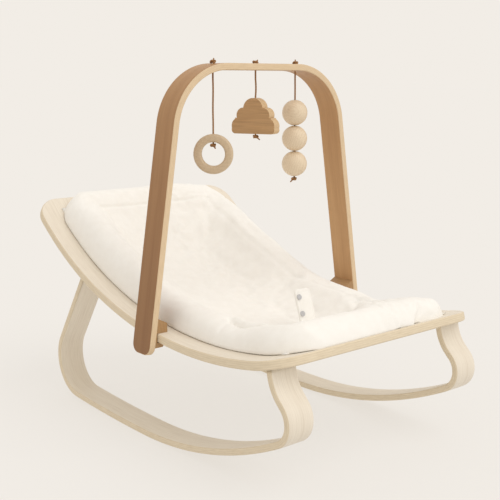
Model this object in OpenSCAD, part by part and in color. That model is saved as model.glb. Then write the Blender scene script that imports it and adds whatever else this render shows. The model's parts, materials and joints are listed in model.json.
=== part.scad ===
// Wooden baby rocker seat: a moulded ring frame on two bent rockers, a padded seat liner,
// and a toy arch that clips on the frame's side rails. X is the width, the foot end is at -Y,
// the head end at +Y, and the floor is at z = 0. Millimetres.

/* [Seat ring] */
// Width of the ring over its side edges
ring_w = 404; // [340:1:480]
// Thickness of the moulded ring
ring_t = 13; // [10:0.5:18]
// Width of each side rail
rail_w = 60; // [50:1:72]
// Width of the rails at the head and the foot
end_rail_w = 46; // [36:1:60]
// Radius of the seat's curve, on its underside
seat_radius = 700; // [620:10:900]
// Radius of the back's curve, on its underside
back_radius = 590; // [500:10:680]
// Slope of the ring where it ends at the foot, in degrees
foot_slope = 15; // [12:0.5:17]
// Slope where the seat's curve passes into the back's, in degrees
bend_slope = 20; // [18:0.5:22]
// Slope of the ring where it ends at the head, in degrees
head_slope = 43; // [38:0.5:46]
// Height of the ring's underside above the floor at its lowest point
ring_height = 157; // [150:1:190]
// Corner radius of the ring at the foot
foot_corner_r = 46; // [30:1:60]
// Corner radius of the ring at the head
head_corner_r = 40; // [30:1:60]

/* [Rockers] */
// Distance of a rocker's middle from the side of the ring
rocker_inset = 34; // [26:1:36]
// Width of the rocker strip
rocker_w = 44; // [36:1:50]
// Thickness of the rocker strip
rocker_t = 10; // [8:0.5:12]
// Radius of the runner from the resting point to the foot
runner_foot_r = 675; // [600:5:760]
// Radius of the runner from the resting point to the head
runner_head_r = 3060; // [2400:20:3600]
// Outer radius of the bend at the foot end
foot_bend_r = 36; // [30:1:42]
// Outer radius of the bend at the head end
head_bend_r = 62; // [52:1:68]

/* [Toy arch] */
// Height of the arch's top above the floor
arch_top = 555; // [480:1:640]
// Width of the arch strip, fore and aft
arch_w = 44; // [36:1:50]
// Thickness of the arch strip
arch_t = 10; // [8:0.5:12]
// Length of the straight part at the top
arch_flat = 141; // [120:1:170]
// Outer radius of the arch's corners
arch_corner_r = 99; // [80:1:110]
// Place of the arch's middle, fore and aft
arch_y = -35; // [-80:1:0]
// How far the legs reach below the rails
leg_drop = 22; // [16:1:30]

/* [Arch clips] */
// How far each jaw reaches over the rail
jaw_reach = 17; // [12:0.5:22]
// Height of the jaw above the rail, beside the arch's leg
upper_jaw = 20; // [16:1:26]
// Height of the jaw below the rail, beside the arch's leg
lower_jaw = 10; // [8:1:14]
// Running gap between the jaws and the rail
clip_gap = 0.4; // [0.3:0.05:0.8]

/* [Toys] */
// Distance between the cords
toy_pitch = 82; // [80:1:86]
// Diameter of the cords
cord_d = 2.2; // [2:0.1:3]
// Outer diameter of the ring toy
ring_toy_od = 59; // [50:1:62]
// Hole of the ring toy
ring_toy_id = 35; // [28:1:38]
// Thickness of the ring toy
ring_toy_t = 13; // [10:0.5:16]
// Height of the ring toy's centre below the arch
ring_toy_drop = 122; // [100:1:140]
// How far the ring toy hangs turned on its cord, in degrees
ring_toy_turn = -45; // [-180:5:180]
// Width of the cloud toy
cloud_w = 73; // [60:1:76]
// Thickness of the cloud toy
cloud_t = 18; // [12:0.5:20]
// How far the cloud toy hangs turned on its cord, in degrees
cloud_turn = -68; // [-180:2:180]
// Height of the cloud's top below the arch
cloud_drop = 41; // [30:1:60]
// Diameter of each bead
bead_d = 40; // [34:0.5:42]
// Height of the top bead's centre below the arch
bead_drop = 65; // [50:1:90]

/* [Seat liner] */
// Width of the rail's top that stays bare outside the liner
bare_rail = 31; // [24:1:40]
// Thickness of the seat pad
pad_t = 20; // [12:1:24]
// Height of the padded rim above the ring beside the seat
rim_h = 36; // [24:1:44]
// How much higher the rim stands beside the back
back_rim_extra = 18; // [0:1:26]
// Thickness of the sling's cloth
sling_t = 2; // [1.5:0.1:3]
// How far the sling sags below the ring's top
sling_sag = 30; // [16:1:44]

/* [Harness] */
// Width of the crotch strap
crotch_w = 32; // [28:1:44]
// Length of the crotch strap above the liner
crotch_len = 50; // [44:1:70]
// How far the crotch strap stands up from the seat, in degrees
crotch_tilt = 72; // [40:1:85]
// Width of each waist strap
waist_w = 28; // [22:1:34]
// Length of each waist strap, stowed
waist_len = 66; // [50:1:70]

/* [Hidden] */
$fn = 64;

BIRCH = [0.90, 0.85, 0.76];
OAK = [0.68, 0.50, 0.33];
BEECH = [0.84, 0.74, 0.60];
CORD = [0.58, 0.42, 0.28];
CLOTH = [0.95, 0.93, 0.88];
STEEL = [0.70, 0.70, 0.72];

// The ring is bent round two axes that run across the seat. A slope names each place along it.
seat_axis = [-130, ring_height + seat_radius];
back_axis = seat_axis + (seat_radius - back_radius) * [sin(bend_slope), -cos(bend_slope)];
function axis_at(slope) = slope < bend_slope ? seat_axis : back_axis;
function radius_at(slope) = slope < bend_slope ? seat_radius : back_radius;
// A place on the ring: x, its slope, and its height above the ring's underside
function on_ring(x, slope, h) =
    let (r = radius_at(slope) - h)
    [x, axis_at(slope)[0] + r * sin(slope), axis_at(slope)[1] - r * cos(slope)];
function seat_slope_at(y) = asin((y - seat_axis[0]) / seat_radius);
function turn_of(width, radius) = width / radius * 180 / PI;

rocker_x = ring_w / 2 - rocker_inset;
hole_x = ring_w / 2 - rail_w;

// ---------------------------------------------------------------- bent strips
// A strip is drawn from the side as a path of its middle line. Each step of a path is [length, 0]
// for a straight stretch or [middle radius, turn] for a bend, to the left when positive.
function step_end(step) =
    step[1] == 0 ? [step[0], 0]
    : [step[0] * sin(abs(step[1])), sign(step[1]) * step[0] * (1 - cos(step[1]))];
// Where a path has got to after its first n steps: [x, y, heading]
function walk(path, n, at = [0, 0, 0], i = 0) =
    i == n ? at
    : let (e = step_end(path[i]))
      walk(path, n, [at[0] + e[0] * cos(at[2]) - e[1] * sin(at[2]),
                     at[1] + e[0] * sin(at[2]) + e[1] * cos(at[2]), at[2] + path[i][1]], i + 1);

// Points beside one step of a path, `off` to its left, no further apart than 10 mm or 4 degrees
function beside(step, at, off) =
    let (n = step[1] == 0 ? 1 : ceil(max(abs(step[1]) / 4, step[0] * abs(step[1]) * PI / 1800)))
    [for (k = [0 : n])
        let (part = step[1] == 0 ? [step[0] * k / n, 0] : [step[0], step[1] * k / n],
             p = k == 0 ? at : walk([part], 1, at))
        [p[0] - off * sin(p[2]), p[1] + off * cos(p[2])]];
function side_line(path, start, off) =
    [for (i = [0 : len(path) - 1]) each beside(path[i], walk(path, i, start), off)];
function reversed(list) = [for (i = [len(list) - 1 : -1 : 0]) list[i]];
function without_repeats(list) = [for (i = [0 : len(list) - 1]) if (i == 0 || norm(list[i] - list[i - 1]) > 0.01) list[i]];
function strip_outline(path, start, t) =
    without_repeats(concat(side_line(path, start, -t / 2), reversed(side_line(path, start, t / 2))));

// What is cut away to round a corner that points along +X and +Y
module corner_waste(r, depth) {
    linear_extrude(depth, center = true)
        difference() {
            square(r + 5);
            circle(r);
        }
}

// ---------------------------------------------------------------- seat ring
function spread(a, b, n) = [for (i = [0 : n]) a + (b - a) * i / n];
function side_point(slope, h) = let (p = on_ring(0, slope, h)) [p[1], p[2]];
// Slopes from one end of a stretch to the other, with the bend's own slope among them
function slopes_between(from, to) =
    concat([for (s = spread(from, min(to, bend_slope), 32)) if (from < bend_slope) s],
           [for (s = spread(max(from, bend_slope), to, 24)) if (to > bend_slope && s > bend_slope) s]);
// The ring from the side, between two slopes and two heights above its underside
module ring_side(from, to, h0, h1) {
    slopes = slopes_between(from, to);
    polygon(concat([for (s = slopes) side_point(s, h0)], [for (s = reversed(slopes)) side_point(s, h1)]));
}
// Draws a side view as a solid, `width` across and centred on x
module across(width, x = 0) {
    translate([x, 0, 0])
        rotate([90, 0, 90])
            linear_extrude(width, center = true)
                children();
}

foot_rail_turn = turn_of(end_rail_w, seat_radius);
head_rail_turn = turn_of(end_rail_w, back_radius);

module ring_blank() {
    difference() {
        across(ring_w) ring_side(-foot_slope, head_slope, 0, ring_t);
        across(2 * hole_x) ring_side(-foot_slope + foot_rail_turn, head_slope - head_rail_turn, -ring_t, 2 * ring_t);
    }
}

module at_ring(x, slope, h) {
    p = on_ring(x, slope, h);
    translate(p)
        rotate([slope, 0, 0])
            children();
}

module ring_corners() {
    for (side = [-1, 1]) {
        at_ring(side * (ring_w / 2 - foot_corner_r), -foot_slope + turn_of(foot_corner_r, seat_radius), 0)
            mirror([side < 0 ? 1 : 0, 0, 0])
                mirror([0, 1, 0])
                    corner_waste(foot_corner_r, 6 * ring_t);
        at_ring(side * (ring_w / 2 - head_corner_r), head_slope - turn_of(head_corner_r, back_radius), 0)
            mirror([side < 0 ? 1 : 0, 0, 0])
                corner_waste(head_corner_r, 6 * ring_t);
    }
}

module seat_frame() {
    color(BIRCH)
        difference() {
            ring_blank();
            ring_corners();
            screw_places() screw_hole();
            stud_places() translate([0, 0, -stud_depth]) cylinder(r = stud_pin_r, h = 2 * stud_depth);
        }
}

// ---------------------------------------------------------------- rockers
// The empty seat's centre of mass is over balance_y, where the two runner curves meet
balance_y = 7;
runner_foot_y = -300;
runner_head_y = 206;
foot_run = asin((balance_y - runner_foot_y) / runner_foot_r);
head_run = asin((runner_head_y - balance_y) / runner_head_r);
foot_lean = 10;
head_lean = 33.4;
foot_sweep_r = 60;
foot_sweep = 35;
spare_leg = 60;
spare_head_leg = 200;
foot_straight = 10;

// From the top of the foot leg down, along the runner and up the head leg
rocker_path = [
    [spare_leg, 0],
    [foot_sweep_r, -foot_sweep],
    [foot_straight, 0],
    [foot_bend_r - rocker_t / 2, 90 + foot_sweep + foot_lean - foot_run],
    [runner_foot_r - rocker_t / 2, foot_run],
    [runner_head_r - rocker_t / 2, head_run],
    [head_bend_r - rocker_t / 2, 90 + head_lean - head_run],
    [spare_head_leg, 0]
];
// The path stands on the floor at the end of its fifth step
rocker_heading = -90 - foot_lean;
rocker_stand = walk(rocker_path, 5, [0, 0, rocker_heading]);
rocker_start = [balance_y - rocker_stand[0], rocker_t / 2 - rocker_stand[1], rocker_heading];
head_bend_end = walk(rocker_path, 7, rocker_start);
foot_bend_start = walk(rocker_path, 3, rocker_start);
// A point on each leg's middle line in Y and Z, and the unit vector that points up it
foot_leg_at = [rocker_start[0], rocker_start[1]];
foot_leg_up = [sin(foot_lean), cos(foot_lean)];
head_leg_at = [head_bend_end[0], head_bend_end[1]];
head_leg_up = [-sin(head_lean), cos(head_lean)];
// How far up a leg's line it meets the ring's underside
function reach(at, up, axis, r) =
    let (d = at - axis, b = d * up, c = d * d - r * r)
    -b - sqrt(b * b - c);
foot_reach = reach(foot_leg_at, foot_leg_up, seat_axis, seat_radius);
head_reach = reach(head_leg_at, head_leg_up, back_axis, back_radius);
// The origin is in the middle of the length, from the foot bend to the ring's head end
foot_bend_y = foot_bend_start[0] - (foot_bend_r - rocker_t / 2) * sin(foot_bend_start[2]) - foot_bend_r;
centre_shift = -(foot_bend_y + on_ring(0, head_slope, 0)[1]) / 2;

module rocker(x) {
    color(BIRCH)
        difference() {
            across(rocker_w, x)
                difference() {
                    polygon(strip_outline(rocker_path, rocker_start, rocker_t));
                    ring_side(-foot_slope, head_slope, 0, 3 * spare_leg);
                }
            screw_places() screw_hole();
        }
}

// ---------------------------------------------------------------- screws of the rockers
screw_r = 2.5;
screw_len = 46;
screw_head_r = 4.6;
screw_head_t = 3.4;
screw_offsets = [-14, -2];

// The screws stand on the legs' middle lines, their heads sunk in the ring's top
module leg_screws(at, up, along) {
    p = at + up * along;
    for (side = [-1, 1], off = screw_offsets)
        translate([side * (rocker_x + off), p[0], p[1]])
            rotate([-atan2(up[0], up[1]), 0, 0])
                children();
}
sink = ring_t - 0.6;
module foot_screw_places() leg_screws(foot_leg_at, foot_leg_up, foot_reach + sink) children();
module head_screw_places() leg_screws(head_leg_at, head_leg_up, head_reach + sink) children();
module screw_places() {
    foot_screw_places() children();
    head_screw_places() children();
}
fit_gap = 0.05;
// A screw points down, with its head's top at z = 0
module screw_hole() {
    translate([0, 0, -screw_head_t]) cylinder(r = screw_head_r + 0.3, h = 4 * screw_head_t);
    translate([0, 0, -screw_len]) cylinder(r = screw_r, h = screw_len);
}
module screw() {
    color(STEEL)
        difference() {
            union() {
                translate([0, 0, -screw_head_t]) cylinder(r = screw_head_r, h = screw_head_t);
                translate([0, 0, -screw_len]) cylinder(r = screw_r - fit_gap, h = screw_len);
            }
            translate([0, 0, -2]) cylinder(r = 2, h = 4, $fn = 6);
        }
}

// ---------------------------------------------------------------- sling and liner
// Soft shells are grids laid over the ring. They reach across from x = left(slope) to right(slope),
// and low() and high() are their heights above the ring's underside.
module soft_shell(slopes, columns, left, right, low, high) {
    rows = len(slopes);
    grid = [for (s = slopes, i = [0 : columns]) [left(s) + (right(s) - left(s)) * i / columns, s]];
    top = [for (g = grid) on_ring(g[0], g[1], high(g[0], g[1]))];
    bottom = [for (g = grid) on_ring(g[0], g[1], low(g[0], g[1]))];
    n = columns + 1;
    under = rows * n;
    faces = [
        for (r = [0 : rows - 2], c = [0 : columns - 1])
            each [[r * n + c, (r + 1) * n + c, (r + 1) * n + c + 1], [r * n + c, (r + 1) * n + c + 1, r * n + c + 1]],
        for (r = [0 : rows - 2], c = [0 : columns - 1])
            each [[under + r * n + c, under + (r + 1) * n + c + 1, under + (r + 1) * n + c],
                  [under + r * n + c, under + r * n + c + 1, under + (r + 1) * n + c + 1]],
        for (c = [0 : columns - 1])
            each [[c, c + 1, under + c + 1], [c, under + c + 1, under + c]],
        for (c = [0 : columns - 1])
            each let (k = (rows - 1) * n) [[k + c + 1, k + c, under + k + c], [k + c + 1, under + k + c, under + k + c + 1]],
        for (r = [0 : rows - 2])
            each [[(r + 1) * n, r * n, under + r * n], [(r + 1) * n, under + r * n, under + (r + 1) * n]],
        for (r = [0 : rows - 2])
            each let (k = columns) [[r * n + k, (r + 1) * n + k, under + (r + 1) * n + k],
                                    [r * n + k, under + (r + 1) * n + k, under + r * n + k]]
    ];
    polyhedron(concat(top, bottom), faces, convexity = 6);
}

function smooth(t) = let (u = max(0, min(1, t))) u * u * (3 - 2 * u);
// Distance along the ring from a slope to the nearer end of a stretch
function from_end(s, first, last) = min((s - first) * seat_radius, (last - s) * back_radius) * PI / 180;
// Half width of a shell with rounded corners
function rounded_half(s, first, last, full, r) =
    let (d = from_end(s, first, last))
    d >= r ? full : full - r + sqrt(max(0, r * r - (r - d) * (r - d)));

sling_edge = 20;
sling_first = -foot_slope + turn_of(end_rail_w - sling_edge, seat_radius);
sling_last = head_slope - turn_of(end_rail_w - sling_edge, back_radius);
sling_x = hole_x + sling_edge;
edge_room = 4;
// The sling hangs inside the ring's opening and lies flat on the rails round it
function sag_share(x, s) =
    let (dx = hole_x - edge_room - abs(x), dy = from_end(s, sling_first, sling_last) - sling_edge - edge_room)
    smooth(dx / 90) * smooth(dy / 120);
rail_gap = 0.2;
function sling_low(x, s) = ring_t + rail_gap - sling_sag * sag_share(x, s);
// The first and last rows lie on the rails, and the rows between them where it sags
sling_rows = concat(
    sling_first,
    spread(sling_first + turn_of(sling_edge + edge_room, seat_radius),
           sling_last - turn_of(sling_edge + edge_room, back_radius), 24),
    sling_last
);

module seat_sling() {
    color(CLOTH)
        soft_shell(sling_rows, 24,
                   function (s) -sling_x,
                   function (s) sling_x,
                   function (x, s) sling_low(x, s),
                   function (x, s) sling_low(x, s) + sling_t);
}

stud_depth = 7;
stud_pin_r = 1.6;
stud_cap_r = 5.5;
stud_cap_t = 1.6;
stud_slopes = [-6, 4, 14, 24, 33];
stud_end_x = [-90, 0, 90];
module stud_places() {
    lift = ring_t;
    for (side = [-1, 1], s = stud_slopes)
        at_ring(side * (hole_x + sling_edge / 2 + 1), s, lift) children();
    for (x = stud_end_x) {
        at_ring(x, sling_first + turn_of(sling_edge / 2 - 1, seat_radius), lift) children();
        at_ring(x, sling_last - turn_of(sling_edge / 2 - 1, back_radius), lift) children();
    }
}
module sling_studs() {
    color(STEEL)
        stud_places() {
            translate([0, 0, -stud_depth + 0.5]) cylinder(r = stud_pin_r - fit_gap, h = stud_depth + sling_t);
            translate([0, 0, rail_gap + sling_t + 0.1]) cylinder(r = stud_cap_r, h = stud_cap_t);
        }
}

liner_x = ring_w / 2 - bare_rail;
liner_first = -foot_slope + turn_of(3, seat_radius);
liner_last = head_slope - turn_of(5, back_radius);
liner_corner = 62;
strap_room = 2.8;
liner_bed = ring_t + rail_gap + sling_t + strap_room;
rim_w = 58;
function liner_low(x, s) = liner_bed - sling_sag * sag_share(x, s);
// The rim is a fat roll round the edge; inside it the pad follows the sling
function rim_dist(x, s) =
    min(rounded_half(s, liner_first, liner_last, liner_x, liner_corner) - abs(x),
        from_end(s, liner_first, liner_last));
function liner_high(x, s) =
    let (d = rim_dist(x, s),
         edge = d < rim_w / 2 ? sqrt(max(0, 1 - pow(1 - d / (rim_w / 2), 2))) : 1,
         back = smooth((s - 8) / 14) * smooth((head_slope - s) / 14) * smooth((abs(x) - 60) / 60),
         roll = ring_t + (rim_h + back_rim_extra * back) * edge,
         pad = liner_low(x, s) + pad_t)
    max(liner_low(x, s) + 2, roll + (pad - roll) * smooth((d - rim_w * 0.45) / (rim_w * 0.9)));

module seat_cushion() {
    color(CLOTH)
        soft_shell(spread(liner_first, liner_last, 34), 26,
                   function (s) -rounded_half(s, liner_first, liner_last, liner_x, liner_corner),
                   function (s) rounded_half(s, liner_first, liner_last, liner_x, liner_corner),
                   function (x, s) liner_low(x, s),
                   function (x, s) liner_high(x, s));
}

// ---------------------------------------------------------------- harness
// The crotch strap stands up from the seat, its broad face to the foot end
crotch_t = 5;
crotch_y = -158;
crotch_slope = seat_slope_at(crotch_y);
crotch_lift = 5;
crotch_root = on_ring(0, crotch_slope, liner_high(0, crotch_slope) + crotch_lift);
module at_crotch() {
    translate(crotch_root)
        rotate([crotch_tilt, 0, 0])
            children();
}
module crotch_strap() {
    color(CLOTH)
        at_crotch() {
            translate([-crotch_w / 2, 0, -crotch_t / 2])
                cube([crotch_w, crotch_len, crotch_t]);
            rotate([0, 90, 0]) cylinder(r = crotch_t / 2, h = crotch_w, center = true);
        }
}
snap_r = 4;
snap_t = 1.8;
snap_edge = 1.5;
snap_pitch = 25;
// Two snaps stand in a column on the strap's left edge
module crotch_studs() {
    color(STEEL)
        at_crotch()
            for (i = [0, 1])
                translate([-crotch_w / 2 + snap_r + snap_edge, crotch_len - snap_r - snap_edge - i * snap_pitch, crotch_t / 2 + 0.05])
                    cylinder(r = snap_r, h = snap_t);
}

// The waist straps are stowed flat on the sling, under the liner
waist_t = 1.2;
waist_slope = seat_slope_at(-100);
waist_inner_x = 56;
waist_gap = (strap_room - waist_t) / 2;
module waist_strap(side) {
    half_turn = turn_of(waist_w / 2, seat_radius);
    color(CLOTH)
        soft_shell(spread(waist_slope - half_turn, waist_slope + half_turn, 2), 8,
                   function (s) side > 0 ? waist_inner_x : -waist_inner_x - waist_len,
                   function (s) side > 0 ? waist_inner_x + waist_len : -waist_inner_x,
                   function (x, s) sling_low(x, s) + sling_t + waist_gap,
                   function (x, s) sling_low(x, s) + sling_t + waist_gap + waist_t);
}

// ---------------------------------------------------------------- toy arch
// The leg's inner face passes just outside the rail's edge, at the height where the clip holds it.
clip_slope = seat_slope_at(arch_y);
rail_z = on_ring(0, clip_slope, ring_t / 2)[2];
edge_gap = 0.6;
leg_foot = [ring_w / 2 + 2, rail_z];
corner_at = [arch_flat / 2, arch_top - arch_corner_r];
inner_r = arch_corner_r - arch_t;
to_foot = leg_foot - corner_at;
arch_turn = -atan2(to_foot[1], to_foot[0]) + asin(inner_r / norm(to_foot));
leg_len = sqrt(to_foot * to_foot - inner_r * inner_r) + (ring_t / 2 + leg_drop) / sin(arch_turn);
// From the left leg's foot, over the top and down to the right leg's foot
arch_path = [
    [leg_len, 0],
    [arch_corner_r - arch_t / 2, -arch_turn],
    [arch_flat, 0],
    [arch_corner_r - arch_t / 2, -arch_turn],
    [leg_len, 0]
];
arch_shoulder = walk(arch_path, 2, [0, 0, arch_turn]);
arch_start = [-arch_flat / 2 - arch_shoulder[0], arch_top - arch_t / 2 - arch_shoulder[1], arch_turn];
leg_end_r = 14;

// Draws a front view as a solid, `depth` fore and aft and centred on the arch
module fore_and_aft(depth) {
    translate([0, arch_y, 0])
        rotate([90, 0, 0])
            linear_extrude(depth, center = true)
                children();
}

module each_side() {
    for (m = [0, 1])
        mirror([m, 0, 0])
            children();
}

module toy_arch() {
    color(OAK)
        difference() {
            fore_and_aft(arch_w)
                polygon(strip_outline(arch_path, arch_start, arch_t));
            each_side()
                translate([arch_start[0], arch_y, arch_start[1]])
                    rotate([0, 90 - arch_turn, 0])
                        for (m = [0, 1])
                            mirror([0, m, 0])
                                translate([0, arch_w / 2 - leg_end_r, leg_end_r])
                                    rotate([90, 0, -90])
                                        rotate(180)
                                            corner_waste(leg_end_r, 3 * arch_t);
            for (x = [-toy_pitch, 0, toy_pitch])
                translate([x, arch_y, arch_top - 2 * arch_t])
                    cylinder(r = cord_hole_r, h = 3 * arch_t);
            each_side() clip_block();
            each_side() clip_screw_places() cylinder(r = clip_screw_r, h = 60, center = true);
        }
}

// ---------------------------------------------------------------- clips
clip_w = arch_w;
clip_inset = 4;
clip_screw_r = 1.75;
clip_screw_rise = 6.4;
clip_screw_len = 24;
clip_screw_off = 12;
clip_screw_head_r = 3.6;
clip_inner_x = ring_w / 2 - jaw_reach;
clip_outer_x = ring_w / 2 + edge_gap + clip_inset;

jaw_tip = 11;
lower_tip = 4;
lower_reach = jaw_reach - 3.5;
jaw_round = 5;
rail_top = rail_z + ring_t / 2;
rail_under = rail_z - ring_t / 2;
// Both jaws taper inwards from the leg: a C seen from the foot end
module clip_block() {
    fore_and_aft(clip_w) {
        polygon([
            [clip_outer_x, rail_under - lower_jaw],
            [clip_outer_x, rail_top + upper_jaw],
            [ring_w / 2, rail_top + upper_jaw],
            [clip_inner_x, rail_top + jaw_tip],
            [clip_inner_x, rail_under],
            [ring_w / 2 - lower_reach, rail_under],
            [ring_w / 2 - lower_reach, rail_under - lower_tip],
            [ring_w / 2 - lower_reach + jaw_round, rail_under - lower_jaw]
        ]);
    }
}
module rail_groove() {
    translate([0, seat_axis[0], seat_axis[1]])
        rotate([0, 90, 0])
            difference() {
                cylinder(r = seat_radius + clip_gap, h = ring_w / 2 + edge_gap, $fn = 360);
                cylinder(r = seat_radius - ring_t - clip_gap, h = 2 * ring_w, center = true, $fn = 360);
            }
}
module clip() {
    color(OAK)
        difference() {
            clip_block();
            rail_groove();
            clip_screw_places() {
                cylinder(r = clip_screw_r, h = 2 * clip_screw_len, center = true);
                translate([0, 0, -3]) cylinder(r = clip_screw_head_r + 0.2, h = 20);
            }
        }
}
// Screws go in from the inner end of the upper jaw and point outwards; z = 0 is the jaw's end
module clip_screw_places() {
    for (m = [-1, 1])
        translate([clip_inner_x, arch_y + m * clip_screw_off, rail_top + clip_screw_rise])
            rotate([0, -90, 0])
                children();
}
module clip_screws() {
    color(STEEL)
        each_side()
            clip_screw_places()
                difference() {
                    union() {
                        translate([0, 0, -clip_screw_len]) cylinder(r = clip_screw_r, h = clip_screw_len - 1);
                        translate([0, 0, -3]) cylinder(r = clip_screw_head_r, h = 2.4);
                    }
                    translate([0, 0, -1.8]) cylinder(r = 1.5, h = 3, $fn = 6);
                }
}

// ---------------------------------------------------------------- toys on cords
cord_r = cord_d / 2;
cord_hole_r = 1.6;
under_arch = arch_top - arch_t;
pivot_z = under_arch - cord_r - 0.5;
neck_len = 11;
joint_gap = 0.1;
knot_r = 4.2;
toy_hole_r = 1.9;
bead_gap = 0.3;

cloud_scale = cloud_w / 73;
ring_knot_z = under_arch - ring_toy_drop + ring_toy_id / 2 - knot_r - 0.2;
cloud_top_z = under_arch - cloud_drop;
cloud_h = 54 * cloud_scale;
cloud_knot_z = cloud_top_z - cloud_h - knot_r - 0.3;
bead_z = [for (i = [0 : 2]) under_arch - bead_drop - i * (bead_d + bead_gap)];
bead_knot_z = bead_z[2] - bead_d / 2 - knot_r + 0.2;

module on_cord(x, turn = 0) {
    translate([x, arch_y, 0])
        rotate(turn)
            children();
}
module top_knot(x) {
    color(CORD)
        on_cord(x) {
            translate([0, 0, arch_top + knot_r * 0.7]) scale_knot();
            translate([0, 0, pivot_z + cord_r + joint_gap]) cylinder(r = cord_r, h = arch_top + knot_r - pivot_z - cord_r);
        }
}
module scale_knot() {
    difference() {
        sphere(knot_r);
        translate([0, 0, -knot_r * 1.7]) cube(2 * knot_r, center = true);
    }
}
module cord_run(x, top, bottom) {
    color(CORD)
        on_cord(x) {
            translate([0, 0, top]) sphere(cord_r, $fn = 24);
            translate([0, 0, bottom]) cylinder(r = cord_r, h = top - bottom, $fn = 24);
        }
}
module cord_neck(x) cord_run(x, pivot_z, pivot_z - neck_len + cord_r + joint_gap);
module hanging_cord(x, knot_z) cord_run(x, pivot_z - neck_len, knot_z);
module end_knot(x, z) {
    color(CORD)
        on_cord(x)
            difference() {
                translate([0, 0, z]) sphere(knot_r);
                translate([0, 0, z]) cylinder(r = cord_r, h = 2 * knot_r, $fn = 24);
            }
}

module ring_toy() {
    edge = 3;
    z = under_arch - ring_toy_drop;
    color(BEECH)
        on_cord(-toy_pitch, ring_toy_turn)
            difference() {
                translate([0, 0, z])
                    rotate([90, 0, 0])
                        rotate_extrude($fn = 96)
                            translate([ring_toy_id / 2, -ring_toy_t / 2])
                                rounded_bar((ring_toy_od - ring_toy_id) / 2, ring_toy_t, edge);
                translate([0, 0, z]) cylinder(r = toy_hole_r, h = ring_toy_od);
            }
}
module rounded_bar(w, h, r) {
    translate([r, 0]) square([w - 2 * r, h]);
    translate([0, r]) square([w, h - 2 * r]);
    for (x = [r, w - r], y = [r, h - r])
        translate([x, y]) circle(r, $fn = 32);
}

// Outline of the cloud: a flat foot with two small corners, and three steps of lobes
module cloud_outline() {
    scale(cloud_scale) {
        translate([-30.5, 0]) square([61, 24]);
        for (side = [-1, 1]) {
            translate([side * 30.5, 6]) circle(6);
            translate([side * 24.5, 12]) circle(12);
            translate([side * 16.5, 28]) circle(11.5);
        }
        translate([0, 37.5]) circle(16.5);
        translate([-17, 20]) square([34, 18]);
    }
}
module cloud_toy() {
    color(OAK)
        on_cord(0, cloud_turn)
            difference() {
                translate([0, cloud_t / 2, cloud_top_z - cloud_h])
                    rotate([90, 0, 0])
                        linear_extrude(cloud_t)
                            cloud_outline();
                translate([0, 0, cloud_top_z - cloud_h - 1]) cylinder(r = toy_hole_r, h = cloud_h + 2);
            }
}
module bead(i) {
    color(BEECH)
        on_cord(toy_pitch)
            difference() {
                translate([0, 0, bead_z[i]]) sphere(bead_d / 2, $fn = 96);
                translate([0, 0, bead_z[i] - bead_d]) cylinder(r = toy_hole_r, h = 2 * bead_d);
            }
}

// Moves what the seat's own measures place so that the origin is in the middle of the length
module placed() {
    translate([0, centre_shift, 0])
        children();
}

placed() seat_frame();
placed() rocker(-rocker_x);  // left_rocker
placed() rocker(rocker_x);  // right_rocker
placed() foot_screw_places() screw();  // foot_screws
placed() head_screw_places() screw();  // head_screws
placed() seat_sling();
placed() sling_studs();
placed() seat_cushion();
placed() crotch_strap();
placed() crotch_studs();
placed() waist_strap(-1);  // left_waist_strap
placed() waist_strap(1);  // right_waist_strap
placed() toy_arch();
placed() mirror([1, 0, 0]) clip();  // left_clip
placed() clip();  // right_clip
placed() clip_screws();
placed() top_knot(-toy_pitch);  // ring_top_knot
placed() top_knot(0);  // cloud_top_knot
placed() top_knot(toy_pitch);  // bead_top_knot
placed() cord_neck(-toy_pitch);  // ring_cord_neck
placed() cord_neck(0);  // cloud_cord_neck
placed() cord_neck(toy_pitch);  // bead_cord_neck
placed() hanging_cord(-toy_pitch, ring_knot_z);  // ring_cord
placed() hanging_cord(0, cloud_knot_z);  // cloud_cord
placed() hanging_cord(toy_pitch, bead_knot_z);  // bead_cord
placed() ring_toy();
placed() cloud_toy();
placed() bead(0);  // bead_top
placed() bead(1);  // bead_middle
placed() bead(2);  // bead_bottom
placed() end_knot(-toy_pitch, ring_knot_z);  // ring_end_knot
placed() end_knot(0, cloud_knot_z);  // cloud_end_knot
placed() end_knot(toy_pitch, bead_knot_z);  // bead_end_knot
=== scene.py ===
"""Wooden baby rocker seat with a toy arch, built around its packed frame.

Metres, +Z up, +Y from the foot end to the head end. Bent strips are made flat, with their rounded
edges and grain coordinates, and then bent along their route.
"""

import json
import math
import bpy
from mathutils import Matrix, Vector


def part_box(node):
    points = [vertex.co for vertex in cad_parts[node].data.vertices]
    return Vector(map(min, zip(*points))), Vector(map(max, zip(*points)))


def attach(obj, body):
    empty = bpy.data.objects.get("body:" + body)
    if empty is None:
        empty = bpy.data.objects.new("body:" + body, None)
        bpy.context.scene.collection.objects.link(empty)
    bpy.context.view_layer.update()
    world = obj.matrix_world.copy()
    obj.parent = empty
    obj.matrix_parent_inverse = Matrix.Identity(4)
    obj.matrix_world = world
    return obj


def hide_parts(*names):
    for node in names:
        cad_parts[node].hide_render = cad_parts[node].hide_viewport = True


bl_info = {
    "name": "Baby Rocker Seat",
    "version": (1, 0, 0),
    "blender": (4, 5, 0),
    "location": "View3D > Sidebar > Rocker Seat",
    "description": "Builds a bentwood baby rocker seat with a padded liner and a toy arch",
    "category": "Add Mesh",
}

import bmesh
import bpy
from bpy.props import FloatProperty, FloatVectorProperty, IntProperty
from mathutils import Matrix, Vector, noise

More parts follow.
